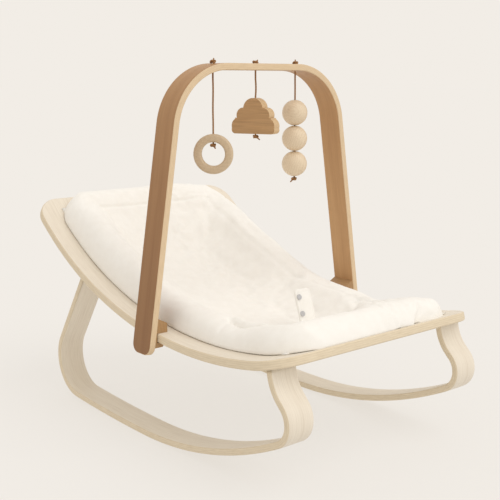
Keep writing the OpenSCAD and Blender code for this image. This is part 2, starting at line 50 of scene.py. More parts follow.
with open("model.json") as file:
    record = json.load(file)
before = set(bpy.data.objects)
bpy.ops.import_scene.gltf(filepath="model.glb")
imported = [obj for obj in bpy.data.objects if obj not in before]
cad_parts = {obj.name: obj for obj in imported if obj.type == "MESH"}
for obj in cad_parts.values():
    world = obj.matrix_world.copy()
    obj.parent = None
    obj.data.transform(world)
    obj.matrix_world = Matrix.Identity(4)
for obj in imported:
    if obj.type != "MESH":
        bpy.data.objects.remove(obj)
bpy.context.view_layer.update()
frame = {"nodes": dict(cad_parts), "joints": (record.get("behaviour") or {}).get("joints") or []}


# ------------------------------------------------------------------ settings
def length(name, description, default):
    return FloatProperty(name=name, description=description, default=default, min=0.0, unit="LENGTH")


def angle(name, description, degrees):
    return FloatProperty(name=name, description=description, default=math.radians(degrees), subtype="ANGLE")


def colour(name, description, default):
    return FloatVectorProperty(name=name, description=description, default=default,
                               size=3, min=0.0, max=1.0, subtype="COLOR")


class BirchSettings(bpy.types.PropertyGroup):
    """Pale moulded birch of the seat ring and the rockers."""

    edge_round: length("Edge round", "Radius on the long edges of the ring and the rockers", 0.0024)
    ply: length("Ply", "Thickness of one layer of veneer", 0.00145)
    face: colour("Face", "Colour of the face veneer", (0.80, 0.73, 0.62))
    streak: colour("Streak", "Colour of the face veneer's darker grain", (0.765, 0.69, 0.58))
    edge: colour("Edge", "Colour of the layers along an edge", (0.75, 0.65, 0.49))
    glue: colour("Glue line", "Colour between the layers along an edge", (0.58, 0.45, 0.30))


class ArchSettings(bpy.types.PropertyGroup):
    """Warm veneered arch and its clips."""

    edge_round: length("Edge round", "Radius on the long edges of the arch", 0.0016)
    ply: length("Ply", "Thickness of one layer of veneer", 0.00125)
    face: colour("Face", "Colour of the face veneer", (0.545, 0.325, 0.155))
    streak: colour("Streak", "Colour of the face veneer's darker grain", (0.47, 0.265, 0.12))
    edge: colour("Edge", "Colour of the layers along an edge", (0.74, 0.58, 0.39))
    glue: colour("Glue line", "Colour between the layers along an edge", (0.54, 0.36, 0.19))
    clip: colour("Clip", "Colour of the clips' solid wood", (0.42, 0.25, 0.115))


class LinerSettings(bpy.types.PropertyGroup):
    """Padded liner, its sling and its straps."""

    swell: length("Swell", "Most that the filling pushes the cloth out", 0.009)
    pressure: FloatProperty(name="Pressure", description="Pressure of the filling", default=4.0)
    spare_cloth: FloatProperty(name="Spare cloth", description="Share of extra cloth that wrinkles",
                               default=0.035)
    cloth: colour("Cloth", "Colour of the cotton", (0.905, 0.885, 0.845))
    # shade is painted shade: the darker colour that the cotton and the canvas take in the hollows of their
    # crinkle
    shade: colour("Shade", "Colour in the cotton's weave", (0.885, 0.862, 0.818))
    canvas: colour("Canvas", "Colour of the sling's canvas", (0.78, 0.74, 0.66))


class ToySettings(bpy.types.PropertyGroup):
    """Beech toys and their cords."""

    cord_width: length("Cord", "Diameter of the cords", 0.0026)
    beech: colour("Beech", "Colour of the waxed beech", (0.78, 0.65, 0.48))
    beech_grain: colour("Beech grain", "Colour of its darker rings", (0.66, 0.51, 0.34))
    ring: colour("Ring", "Colour of the ring toy", (0.63, 0.495, 0.335))
    cloud: colour("Cloud", "Colour of the cloud's front", (0.53, 0.325, 0.16))
    cloud_side: colour("Cloud side", "Colour of the cloud's sawn sides", (0.66, 0.47, 0.27))
    cord: colour("Cord colour", "Colour of the waxed cord", (0.26, 0.135, 0.055))


class StageSettings(bpy.types.PropertyGroup):
    """Floor, light and camera."""

    backdrop: colour("Backdrop", "Colour of the floor and the background", (0.887, 0.846, 0.791))
    sun: FloatProperty(name="Sun", description="Strength of the soft main light", default=0.90)
    sun_spread: angle("Sun spread", "Angle over which the main light is spread", 50)
    floor_share: FloatProperty(name="Floor share", description="Share of the light that the floor gives back",
                               default=0.22)
    lens: FloatProperty(name="Lens", description="Focal length in millimetres", default=66.17)


SETTINGS = {
    "birch": BirchSettings, "arch_wood": ArchSettings, "liner": LinerSettings,
    "toys": ToySettings, "stage": StageSettings,
}


def settings(name):
    return getattr(bpy.context.scene, "rocker_" + name)


# ------------------------------------------------------------------ the ring's shape
# the plate is bent on two radii, one under the seat and one at the back, and s runs along its underside
SEAT_R = 0.700
BACK_R = 0.590
FOOT_SLOPE = math.radians(-15)
BEND_SLOPE = math.radians(20)
HEAD_SLOPE = math.radians(43)
RING_T = 0.013
RING_LO, RING_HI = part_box("seat_frame")
RING_HALF = RING_HI.x
SEAT_AXIS = Vector((0, RING_LO.y - SEAT_R * math.sin(FOOT_SLOPE), RING_LO.z + SEAT_R))
BACK_AXIS = SEAT_AXIS + (SEAT_R - BACK_R) * Vector((0, math.sin(BEND_SLOPE), -math.cos(BEND_SLOPE)))
BEND_S = SEAT_R * (BEND_SLOPE - FOOT_SLOPE)
RING_LEN = BEND_S + BACK_R * (HEAD_SLOPE - BEND_SLOPE)
RAIL_W = 0.060
END_RAIL_W = 0.046


def slope_at(s):
    """Slope of the ring at a distance s along its underside from the foot end."""
    if s < BEND_S:
        return FOOT_SLOPE + s / SEAT_R
    return BEND_SLOPE + (s - BEND_S) / BACK_R


def on_ring(x, s, h):
    """Point at x across, s along and h above the ring's underside."""
    slope = slope_at(s)
    axis, radius = (SEAT_AXIS, SEAT_R) if slope < BEND_SLOPE else (BACK_AXIS, BACK_R)
    return axis + Vector((x, (radius - h) * math.sin(slope), -(radius - h) * math.cos(slope)))


def height_above_ring(point):
    """How far a point is above the ring's underside."""
    seat = (point - SEAT_AXIS).yz
    slope = math.atan2(seat.x, -seat.y)
    if slope < BEND_SLOPE:
        return SEAT_R - seat.length
    return BACK_R - (point - BACK_AXIS).yz.length


def smooth(t):
    """Eases from 0 to 1 and stays there."""
    t = min(1.0, max(0.0, t))
    return t * t * (3 - 2 * t)


# ------------------------------------------------------------------ mesh helpers
def finish_mesh(bm, name, materials, body, stands_for, weighted=True):
    """Makes the bmesh an object that rides on a body and takes its place from its mesh."""
    mesh = bpy.data.meshes.new(name)
    for face in bm.faces:
        face.smooth = True
    bm.to_mesh(mesh)
    bm.free()
    for material in materials:
        mesh.materials.append(material)
    piece = bpy.data.objects.new(name, mesh)
    bpy.context.scene.collection.objects.link(piece)
    if weighted:
        evened = piece.modifiers.new("Even shading", "WEIGHTED_NORMAL")
        evened.keep_sharp = True
    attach(piece, body)
    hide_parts(*stands_for)
    return piece


# a cut or a merge takes points closer than this as one
TOUCHING = 1e-6


def round_edges(bm, edges, radius, segments=3):
    bmesh.ops.bevel(bm, geom=list(edges), offset=radius, offset_type="OFFSET", segments=segments,
                    profile=0.5, affect="EDGES", material=-1, clamp_overlap=True)


def rim_edges(bm):
    """The edges round the top and bottom faces of a flat plate."""
    found = []
    for edge in bm.edges:
        level = abs(edge.verts[0].co.z - edge.verts[1].co.z) < TOUCHING
        if level and len(edge.link_faces) == 2 and edge.calc_face_angle(0) > math.radians(60):
            found.append(edge)
    return found


def cut_across(bm, places):
    """Cuts a flat plate across at each distance along it, so that it can bend there."""
    for s in places:
        geometry = bm.verts[:] + bm.edges[:] + bm.faces[:]
        bmesh.ops.bisect_plane(bm, geom=geometry, plane_co=(0, s, 0), plane_no=(0, 1, 0), dist=TOUCHING)


# a face faces along an axis if this much of its normal does
MOSTLY = 0.8


def lay_grain(bm):
    """Grain coordinates from the flat plate: along and across on its faces, and through it on its edges."""
    layer = bm.loops.layers.uv.new("Grain")
    bm.normal_update()
    for face in bm.faces:
        facing = face.normal
        broad = abs(facing.z) > MOSTLY
        face.material_index = 0 if broad else 1
        for loop in face.loops:
            at = loop.vert.co
            if broad:
                loop[layer].uv = (at.y, at.x)
            elif abs(facing.y) > MOSTLY:
                loop[layer].uv = (at.x, at.z)
            else:
                loop[layer].uv = (at.y, at.z)


class Route:
    """A bent strip's middle line seen from the side: (length, 0) runs and (radius, turn) bends in turn."""

    def __init__(self, steps, heading):
        self.runs = []
        self.length = 0.0
        here = Vector((0.0, 0.0))
        for size, turn in steps:
            long = size if turn == 0 else size * abs(turn)
            self.runs.append((self.length, long, here, heading, size, turn))
            self.length += long
            here, heading = self.along(self.runs[-1], long)
        self.shift = Vector((0.0, 0.0))

    @staticmethod
    def along(run, distance):
        _, _, here, heading, size, turn = run
        if turn == 0:
            return here + distance * Vector((math.cos(heading), math.sin(heading))), heading
        angle = distance / size
        side = 1 if turn > 0 else -1
        step = Vector((size * math.sin(angle), side * size * (1 - math.cos(angle))))
        return here + Matrix.Rotation(heading, 2) @ step, heading + side * angle

    def at(self, s):
        run = next((r for r in self.runs if s <= r[0] + r[1]), self.runs[-1])
        point, heading = self.along(run, s - run[0])
        return point + self.shift, heading

    def cuts(self, step=math.radians(3.5), spacing=0.012):
        """Places to cut: close together in the bends, none along straight runs."""
        places = []
        for start, long, _, _, _, turn in self.runs:
            if turn:
                count = math.ceil(max(abs(turn) / step, long / spacing))
                places += [start + long * i / count for i in range(count + 1)]
        return places

    def bend(self, bm, place):
        for vert in bm.verts:
            point, heading = self.at(vert.co.y)
            beside = Vector((-math.sin(heading), math.cos(heading)))
            vert.co = place(vert.co.x, point + vert.co.z * beside)


def plank(long, width, thick, edge_round, cuts, end_round=0.0):
    """A flat strip from y = 0 to long, centred on x and z, ready to bend."""
    bm = bmesh.new()
    bmesh.ops.create_cube(bm, size=1.0)
    bmesh.ops.scale(bm, vec=(width, long, thick), verts=bm.verts)
    bmesh.ops.translate(bm, vec=(0, long / 2, 0), verts=bm.verts)
    if end_round:
        upright = [e for e in bm.edges if abs(e.verts[0].co.z - e.verts[1].co.z) > thick / 2]
        round_edges(bm, upright, end_round, segments=8)
    round_edges(bm, rim_edges(bm), edge_round)
    cut_across(bm, cuts)
    lay_grain(bm)
    return bm


def softened(node_name, radius, name, materials, body, stands_for, segments=3):
    """A CAD piece's shape with rounded edges."""
    bm = bmesh.new()
    bm.from_mesh(frame["nodes"][node_name].data)
    bmesh.ops.remove_doubles(bm, verts=bm.verts, dist=1e-5)
    bmesh.ops.dissolve_limit(bm, angle_limit=math.radians(2), use_dissolve_boundaries=False,
                             verts=bm.verts, edges=bm.edges, delimit={"NORMAL"})
    sharp = [e for e in bm.edges if len(e.link_faces) == 2 and e.calc_face_angle(0) > math.radians(35)]
    round_edges(bm, sharp, radius, segments)
    return finish_mesh(bm, name, materials, body, stands_for)


# ------------------------------------------------------------------ material helpers
def add(tree, kind, sockets=None, **options):
    """Adds a node; a socket in sockets is linked and anything else is set."""
    made = tree.nodes.new(kind)
    for option, value in options.items():
        setattr(made, option, value)
    for name, value in (sockets or {}).items():
        if isinstance(value, bpy.types.NodeSocket):
            tree.links.new(value, made.inputs[name])
        else:
            made.inputs[name].default_value = value
    return made


def ramp(tree, factor, stops):
    """Colours by factor: (position, colour) stops."""
    made = add(tree, "ShaderNodeValToRGB", {"Fac": factor})
    elements = made.color_ramp.elements
    while len(elements) < len(stops):
        elements.new(0.5)
    for element, (position, value) in zip(elements, stops):
        element.position = position
        element.color = (*value, 1)
    return made.outputs["Color"]


def new_material(name, roughness, **constants):
    """A material with its shader, and the values that are the same all over set on the shader."""
    material = bpy.data.materials.new(name)
    material.use_nodes = True
    shader = material.node_tree.nodes["Principled BSDF"]
    shader.inputs["Roughness"].default_value = roughness
    for socket, value in constants.items():
        shader.inputs[socket.replace("_", " ")].default_value = value
    return material, material.node_tree, shader


def surface(tree, shader, colour_out, bump_out, strength, depth):
    """Gives the shader its colour and its relief."""
    tree.links.new(colour_out, shader.inputs["Base Color"])
    bump = add(tree, "ShaderNodeBump", {"Height": bump_out, "Strength": strength, "Distance": depth})
    tree.links.new(bump.outputs["Normal"], shader.inputs["Normal"])


def noise_of(tree, vector, scale, stretch, detail=4.0, roughness=0.55, turn=(0, 0, 0)):
    """Noise over a vector that is first stretched."""
    mapped = add(tree, "ShaderNodeMapping", {"Vector": vector, "Scale": stretch, "Rotation": turn})
    made = add(tree, "ShaderNodeTexNoise", {"Vector": mapped.outputs["Vector"], "Scale": scale,
                                            "Detail": detail, "Roughness": roughness})
    return made.outputs["Fac"]


def blend_colours(tree, factor, first, second, mode="MIX"):
    """Mixes two colours; each can be a socket or a plain colour."""
    made = add(tree, "ShaderNodeMix", data_type="RGBA", blend_type=mode)
    for index, value in ((0, factor), (6, first), (7, second)):
        if isinstance(value, bpy.types.NodeSocket):
            tree.links.new(value, made.inputs[index])
        else:
            made.inputs[index].default_value = value if index == 0 else (*value, 1)
    return made.outputs[2]


def darker(shade, share):
    return tuple(c * share for c in shade)


def warm_tone(level):
    """A brightness as a colour that grows warmer as it darkens."""
    warmth = 0.955 ** (8 * (1 - level))
    return (level, level * warmth, level * warmth ** 2)


def veneer(name, face, streak, roughness=0.5, drift=None):
    """Face veneer: broad soft figure and fine pores, both drawn out along the grain.

    drift gives (place along the strip, brightness) stops that change the colour's brightness along the strip.
    """
    material, tree, shader = new_material(name, roughness, Specular_IOR_Level=0.35)
    grain = add(tree, "ShaderNodeUVMap", uv_map="Grain").outputs["UV"]
    figure = noise_of(tree, grain, 1.0, (3.0, 55.0, 1.0))
    pores = noise_of(tree, grain, 1.0, (18.0, 900.0, 1.0), detail=3.0)
    broad = ramp(tree, figure, [(0.36, streak), (0.62, face)])
    fine = ramp(tree, pores, [(0.34, (0.86, 0.84, 0.81)), (0.56, (1, 1, 1))])
    mixed = blend_colours(tree, 0.7, broad, fine, "MULTIPLY")
    if drift:
        parts = add(tree, "ShaderNodeSeparateXYZ", {"Vector": grain})
        last = drift[-1][0]
        share = add(tree, "ShaderNodeMath", {0: parts.outputs["X"], 1: last}, operation="DIVIDE")
        tone = ramp(tree, share.outputs[0], [(place / last, warm_tone(level)) for place, level in drift])
        mixed = blend_colours(tree, 1.0, mixed, tone, "MULTIPLY")
    surface(tree, shader, mixed, pores, 0.12, 0.0004)
    return material


def ply_edge(name, edge, glue, ply):
    """Layers of veneer along an edge: light and dark layers by turns, with a glue line between them."""
    material, tree, shader = new_material(name, 0.6, Specular_IOR_Level=0.3)
    grain = add(tree, "ShaderNodeUVMap", uv_map="Grain").outputs["UV"]
    parts = add(tree, "ShaderNodeSeparateXYZ", {"Vector": grain})
    layer = add(tree, "ShaderNodeMath", {0: parts.outputs["Y"], 1: ply}, operation="DIVIDE")
    layer = add(tree, "ShaderNodeMath", {0: layer.outputs[0], 1: 1.0}, operation="PINGPONG")
    pale = tuple(min(1.0, c * 1.07) for c in edge)
    deep = darker(edge, 0.93)
    bands = ramp(tree, layer.outputs[0], [(0.30, pale), (0.44, glue), (0.56, glue), (0.70, deep)])
    fibres = noise_of(tree, grain, 1.0, (60.0, 900.0, 1.0), detail=3.0)
    flecks = ramp(tree, fibres, [(0.35, (0.88, 0.86, 0.83)), (0.6, (1, 1, 1))])
    plain = blend_colours(tree, 0.55, bands, edge)
    mixed = blend_colours(tree, 0.8, plain, flecks, "MULTIPLY")
    surface(tree, shader, mixed, fibres, 0.15, 0.0004)
    return material


def solid_wood(name, pale, grain_colour, centre, turn, rings=95.0):
    """Wood turned from the solid: growth rings about a tilted axis, with fine flecks."""
    material, tree, shader = new_material(name, 0.5, Specular_IOR_Level=0.4)
    place = add(tree, "ShaderNodeTexCoord").outputs["Object"]
    moved = add(tree, "ShaderNodeMapping", {"Vector": place, "Location": [-c for c in centre]})
    turned = add(tree, "ShaderNodeMapping", {"Vector": moved.outputs["Vector"], "Rotation": turn,
                                             "Location": (0.024, 0.011, 0)})
    rings_of = add(tree, "ShaderNodeTexWave",
                   {"Vector": turned.outputs["Vector"], "Scale": rings, "Distortion": 2.2, "Detail": 2.0,
                    "Detail Scale": 1.2},
                   wave_type="RINGS", rings_direction="Z", wave_profile="SIN")
    flecks = noise_of(tree, turned.outputs["Vector"], 1.0, (900.0, 900.0, 90.0), detail=2.0)
    broad = ramp(tree, rings_of.outputs["Fac"], [(0.15, grain_colour), (0.75, pale)])
    soft = blend_colours(tree, 0.72, broad, pale)
    fine = ramp(tree, flecks, [(0.34, (0.85, 0.82, 0.78)), (0.56, (1, 1, 1))])
    mixed = blend_colours(tree, 0.7, soft, fine, "MULTIPLY")
    surface(tree, shader, mixed, flecks, 0.10, 0.0003)
    return material


def sawn_wood(name, pale, grain_colour):
    """A sawn board: fine straight grain drawn out across the board, with broader tone under it."""
    material, tree, shader = new_material(name, 0.5, Specular_IOR_Level=0.35)
    place = add(tree, "ShaderNodeTexCoord").outputs["Object"]
    fine = noise_of(tree, place, 1.0, (30.0, 30.0, 800.0), detail=3.0, turn=(0.08, 0.10, 0))
    broad = noise_of(tree, place, 1.0, (14.0, 14.0, 260.0), detail=3.0, turn=(0.08, 0.10, 0))
    tone = ramp(tree, broad, [(0.36, grain_colour), (0.6, pale)])
    flecks = ramp(tree, fine, [(0.36, (0.84, 0.82, 0.78)), (0.58, (1, 1, 1))])
    mixed = blend_colours(tree, 0.75, tone, flecks, "MULTIPLY")
    surface(tree, shader, mixed, fine, 0.12, 0.0003)
    return material


def cotton(name, cloth, shade, weave=1500.0, crinkle=0.5):
    """Soft cotton: a fine weave over a light crinkle, with a faint nap, and painted shade that darkens the
    colour in the crinkle's hollows.
    """
    material, tree, shader = new_material(name, 0.9, Specular_IOR_Level=0.15, Sheen_Weight=0.25,
                                          Sheen_Roughness=0.5)
    place = add(tree, "ShaderNodeTexCoord").outputs["Object"]
    threads = noise_of(tree, place, weave, (1.0, 0.35, 1.0), detail=1.0)
    across = noise_of(tree, place, weave, (0.35, 1.0, 1.0), detail=1.0)
    woven = add(tree, "ShaderNodeMath", {0: threads, 1: across}, operation="ADD")
    crinkle_and_shade = noise_of(tree, place, 70.0, (1.0, 1.0, 1.0), detail=5.0, roughness=0.6)
    # painted shade: the colour runs from shade to cloth as the crinkle rises, so the crinkle's hollows are
    # darker
    tone = ramp(tree, crinkle_and_shade, [(0.35, shade), (0.6, cloth)])
    height = add(tree, "ShaderNodeMath", {0: crinkle_and_shade, 1: crinkle * 2.4, 2: woven.outputs[0]},
                 operation="MULTIPLY_ADD")
    surface(tree, shader, tone, height.outputs[0], 0.35, 0.0006)
    return material


def twisted_cord(name, body_colour):
    """Waxed cord: slanting bands of painted light and shade along its twisted strands, paler on their crests
    and darker in the grooves.
    """
    material, tree, shader = new_material(name, 0.75, Specular_IOR_Level=0.3)
    place = add(tree, "ShaderNodeTexCoord").outputs["Object"]
    strands = add(tree, "ShaderNodeTexWave", {"Vector": place, "Scale": 260.0, "Distortion": 1.5,
                                              "Detail": 1.0, "Detail Scale": 2.0},
                  bands_direction="DIAGONAL")
    # painted light and shade: the strands' crests are paler and the grooves keep the cord's darker colour
    pale = tuple(min(1.0, c * 1.6) for c in body_colour)
    tone = ramp(tree, strands.outputs["Fac"], [(0.2, body_colour), (0.9, pale)])
    surface(tree, shader, tone, strands.outputs["Fac"], 0.6, 0.0004)
    return material


def plated_steel():
    material, tree, shader = new_material("Plated steel", 0.3, Metallic=1.0)
    place = add(tree, "ShaderNodeTexCoord").outputs["Object"]
    brushed = noise_of(tree, place, 1.0, (900.0, 900.0, 300.0), detail=2.0)
    tone = ramp(tree, brushed, [(0.3, (0.52, 0.52, 0.54)), (0.7, (0.68, 0.68, 0.70))])
    surface(tree, shader, tone, brushed, 0.08, 0.0002)
    return material


def ready(name):
    return bpy.data.materials.get(name)


def birch_materials():
    wood = settings("birch")
    return (ready("Birch face") or veneer("Birch face", wood.face, wood.streak),
            ready("Birch edge") or ply_edge("Birch edge", wood.edge, wood.glue, wood.ply))


# metres along the arch and brightness there: the arch is darker towards one foot
ARCH_TONE = ((0.0, 0.52), (0.25, 0.68), (0.50, 0.92), (0.85, 0.98), (1.20, 1.0))


def arch_materials():
    wood = settings("arch_wood")
    return (ready("Arch face") or veneer("Arch face", wood.face, wood.streak, 0.45, ARCH_TONE),
            ready("Arch edge") or ply_edge("Arch edge", wood.edge, wood.glue, wood.ply))


def cotton_material():
    cloth = settings("liner")
    return ready("Cotton") or cotton("Cotton", cloth.cloth, cloth.shade)


def cord_material():
    return ready("Cord") or twisted_cord("Cord", settings("toys").cord)


# ------------------------------------------------------------------ seat ring and rockers
class ROCKER_OT_seat_ring(bpy.types.Operator):
    """Seat ring: one moulded plate with an opening, rounded at the corners and bent along the seat"""

    bl_idname = "rocker.seat_ring"
    bl_label = "Seat Ring"
    foot_corner: length("Foot corner", "Radius of the ring's corners at the foot", 0.046)
    head_corner: length("Head corner", "Radius of the ring's corners at the head", 0.040)
    inner_corner: length("Inner corner", "Radius of the opening's corners", 0.012)
    spacing: length("Spacing", "Distance between the places where the plate is bent", 0.010)

    @staticmethod
    def outline(bm, half, first, last, foot_corner, head_corner):
        """A flat frame outline with rounded corners. Returns its edges."""
        places = ((-half, first), (half, first), (half, last), (-half, last))
        corners = [bm.verts.new((x, y, 0)) for x, y in places]
        bm.faces.new(corners)
        for pair, radius in ((corners[:2], foot_corner), (corners[2:], head_corner)):
            bmesh.ops.bevel(bm, geom=pair, offset=radius, offset_type="OFFSET", segments=9,
                            profile=0.5, affect="VERTICES", material=-1)
        bm.faces.ensure_lookup_table()
        face = bm.faces[-1]
        edges = list(face.edges)
        bmesh.ops.delete(bm, geom=[face], context="FACES_ONLY")
        return edges

    def execute(self, context):
        wood = settings("birch")
        bm = bmesh.new()
        outer = self.outline(bm, RING_HALF, 0.0, RING_LEN, self.foot_corner, self.head_corner)
        inner = self.outline(bm, RING_HALF - RAIL_W, END_RAIL_W, RING_LEN - END_RAIL_W,
                             self.inner_corner, self.inner_corner)
        bmesh.ops.bridge_loops(bm, edges=outer + inner)
        bmesh.ops.recalc_face_normals(bm, faces=bm.faces)
        if bm.faces[0].normal.z < 0:
            bmesh.ops.reverse_faces(bm, faces=bm.faces)
        raised = bmesh.ops.extrude_face_region(bm, geom=bm.faces[:])["geom"]
        top = [part for part in raised if isinstance(part, bmesh.types.BMVert)]
        bmesh.ops.translate(bm, vec=(0, 0, RING_T), verts=top)
        bmesh.ops.recalc_face_normals(bm, faces=bm.faces)
        round_edges(bm, rim_edges(bm), wood.edge_round)
        count = math.ceil(RING_LEN / self.spacing)
        cut_across(bm, [RING_LEN * i / count for i in range(1, count)])
        lay_grain(bm)
        for vert in bm.verts:
            vert.co = on_ring(*vert.co)
        finish_mesh(bm, "Frame_ring", birch_materials(), "seat", ["seat_frame"])
        return {"FINISHED"}


# outer radii of the rockers' bends, and where along y the runners begin, rest and end
FOOT_LEG_R = 0.060
FOOT_SWEEP = math.radians(35)
FOOT_STRAIGHT = 0.010
FOOT_BEND_R = 0.036
HEAD_BEND_R = 0.062
RUNNER_FOOT_R = 0.675
RUNNER_HEAD_R = 3.060
RUNNER_FOOT_Y = -0.300
BALANCE_Y = 0.007
RUNNER_HEAD_Y = 0.206
# straight ends that are longer than the legs and are then cut off
SPARE_FOOT_LEG = 0.060
SPARE_HEAD_LEG = 0.200
# a leg's middle line ends this far under the ring
LEG_GAP = 0.0008


class ROCKER_OT_rockers(bpy.types.Operator):
    """Rockers: two bent strips whose legs are cut to the ring's underside"""

    bl_idname = "rocker.rockers"
    bl_label = "Rockers"
    thick: length("Thickness", "Thickness of the rocker strip", 0.010)
    foot_lean: angle("Foot lean", "Lean of the foot leg", 10)
    head_lean: angle("Head lean", "Lean of the head leg", 33.4)

    def route(self):
        """From the top of the foot leg down, along the runner and up the head leg."""
        half = self.thick / 2
        foot_run = math.asin((BALANCE_Y - RUNNER_FOOT_Y) / RUNNER_FOOT_R)
        head_run = math.asin((RUNNER_HEAD_Y - BALANCE_Y) / RUNNER_HEAD_R)
        return Route([
            (SPARE_FOOT_LEG, 0), (FOOT_LEG_R, -FOOT_SWEEP), (FOOT_STRAIGHT, 0),
            (FOOT_BEND_R - half, math.pi / 2 + FOOT_SWEEP + self.foot_lean - foot_run),
            (RUNNER_FOOT_R - half, foot_run), (RUNNER_HEAD_R - half, head_run),
            (HEAD_BEND_R - half, math.pi / 2 + self.head_lean - head_run), (SPARE_HEAD_LEG, 0),
        ], -math.pi / 2 - self.foot_lean)

    def settle(self, route, low):
        """Moves the route so that its runner is on the floor and its foot bend is where the frame has it."""
        half = self.thick / 2
        points = [route.at(route.length * i / 4000) for i in range(4001)]
        reach = min(p.x - half for p, _ in points)
        floor = min(p.y - half for p, _ in points)
        route.shift = Vector((low.y - reach, low.z - floor))

    def leg_top(self, route, places):
        """Where a leg's middle line meets the ring's underside."""
        for s in places:
            point, _ = route.at(s)
            at = Vector((0, point.x, point.y))
            if height_above_ring(at) > LEG_GAP:
                return at
        raise RuntimeError("a rocker's leg doesn't reach the ring")

    def execute(self, context):
        wood = settings("birch")
        for side in ("left", "right"):
            node = side + "_rocker"
            low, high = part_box(node)
            middle = (low.x + high.x) / 2
            route = self.route()
            self.settle(route, low)
            bm = plank(route.length, high.x - low.x, self.thick, wood.edge_round, route.cuts())
            route.bend(bm, lambda across, q: Vector((middle + across, q.x, q.y)))
            steps = [route.length * i / 2000 for i in range(2001)]
            foot = self.leg_top(route, [s for s in reversed(steps) if s < route.length * 0.2])
            head = self.leg_top(route, [s for s in steps if s > route.length * 0.75])
            for cut, keeps in ((foot, lambda v: v.co.y < -0.1), (head, lambda v: v.co.y > 0.1)):
                axis = SEAT_AXIS if cut.y < 0 else BACK_AXIS
                up = Vector((0, axis.y - cut.y, axis.z - cut.z)).normalized()
                verts = [v for v in bm.verts if keeps(v)]
                chosen = set(verts)
                edges = [e for e in bm.edges if all(v in chosen for v in e.verts)]
                faces = [f for f in bm.faces if all(v in chosen for v in f.verts)]
                bmesh.ops.bisect_plane(bm, geom=verts + edges + faces, plane_co=cut, plane_no=up,
                                       clear_outer=True, dist=TOUCHING)
            bmesh.ops.holes_fill(bm, edges=[e for e in bm.edges if e.is_boundary], sides=0)
            finish_mesh(bm, side.capitalize() + "_rocker_strip", birch_materials(), "seat",
                        [node])
        return {"FINISHED"}


# ------------------------------------------------------------------ sling and liner
# heights are above the ring's underside and lengths are along it from the foot end
BED = 0.018
SAG = 0.030
HOLE_HALF = RING_HALF - RAIL_W
SLING_EDGE = 0.020
SLING_LIFT = 0.0003
STRAP_LIFT = 0.0030
STRAP_T = 0.0011
LINER_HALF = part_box("seat_cushion")[1].x
LINER_FIRST = 0.003
LINER_LAST = RING_LEN - 0.005
LINER_CORNER = 0.062
LINER_INSET = 0.0003
RIM_W = 0.058
RIM_H = 0.036
# more height for the rim at the back, and less where it dips at the strap slots
BACK_RIM = 0.018
SLOT_DIP = 0.009
DIP_LONG = 0.045
PAD_T = 0.020
# the edge of the liner droops onto the ring over its last few millimetres
DROOP = 0.0054
DROOP_W = 0.0095
SLOT_X = 0.140
SLOT_S = 0.140
SLOT_HALF = 0.040
TUCK_S = 0.165


def sag_at(x, s):
    """How far the sling hangs below the ring's top: it eases down from 4 mm inside the opening."""
    side = (HOLE_HALF - 0.004 - abs(x)) / 0.090
    end = (min(s, RING_LEN - s) - END_RAIL_W - 0.004) / 0.120
    return SAG * smooth(side) * smooth(end)


def liner_half(s):
    """Half width of the liner, which has round corners."""
    end = min(s - LINER_FIRST, LINER_LAST - s)
    if end >= LINER_CORNER:
        return LINER_HALF
    return LINER_HALF - LINER_CORNER + math.sqrt(max(0.0, LINER_CORNER ** 2 - (LINER_CORNER - end) ** 2))


def rim_distance(x, s):
    """How far a place is inside the liner's edge."""
    return min(liner_half(s) - abs(x), s - LINER_FIRST, LINER_LAST - s)


def liner_low(x, s):
    """The liner lies on the sling and its edge droops past the sling's edge onto the ring."""
    droop = DROOP * smooth((DROOP_W - rim_distance(x, s)) / 0.008)
    return BED - droop - sag_at(x, s)


def liner_high(x, s):
    """The padded rim is a fat roll round the edge; inside it the pad follows the sling."""
    inside = rim_distance(x, s)
    part = 1 - inside / (RIM_W / 2)
    edge = math.sqrt(max(0.0, 1 - part * part)) if part > 0 else 1.0
    slope = math.degrees(slope_at(s))
    back = smooth((slope - 8) / 14) * smooth((43 - slope) / 14) * smooth((abs(x) - 0.06) / 0.06)
    dip = SLOT_DIP * math.exp(-((s - SLOT_S) / DIP_LONG) ** 2) * smooth((abs(x) - 0.08) / 0.03)
    roll = RING_T + (RIM_H + BACK_RIM * back - dip) * edge
    pad = BED - sag_at(x, s) + PAD_T
    return max(liner_low(x, s) + 0.002, roll + (pad - roll) * smooth((inside - RIM_W * 0.45) / (RIM_W * 0.9)))


def cloth_strip(name, x_range, s_range, steps, height, thick, material, stands_for):
    """A piece of cloth that lies over the ring. Returns it and its flat width and length."""
    bm = bmesh.new()
    bmesh.ops.create_grid(bm, x_segments=steps[0], y_segments=steps[1], size=0.5)
    for vert in bm.verts:
        x = x_range[0] + (x_range[1] - x_range[0]) * (vert.co.x + 0.5)
        s = s_range[0] + (s_range[1] - s_range[0]) * (vert.co.y + 0.5)
        vert.co = on_ring(x, s, height(x, s))
    area = sum(face.calc_area() for face in bm.faces)
    bmesh.ops.recalc_face_normals(bm, faces=bm.faces)
    if bm.faces[0].normal.z < 0:
        bmesh.ops.reverse_faces(bm, faces=bm.faces)
    bmesh.ops.solidify(bm, geom=bm.faces[:], thickness=-thick)
    bmesh.ops.recalc_face_normals(bm, faces=bm.faces)
    piece = finish_mesh(bm, name, [material], "seat", stands_for, weighted=False)
    wide = x_range[1] - x_range[0]
    return piece, (wide, area / wide)


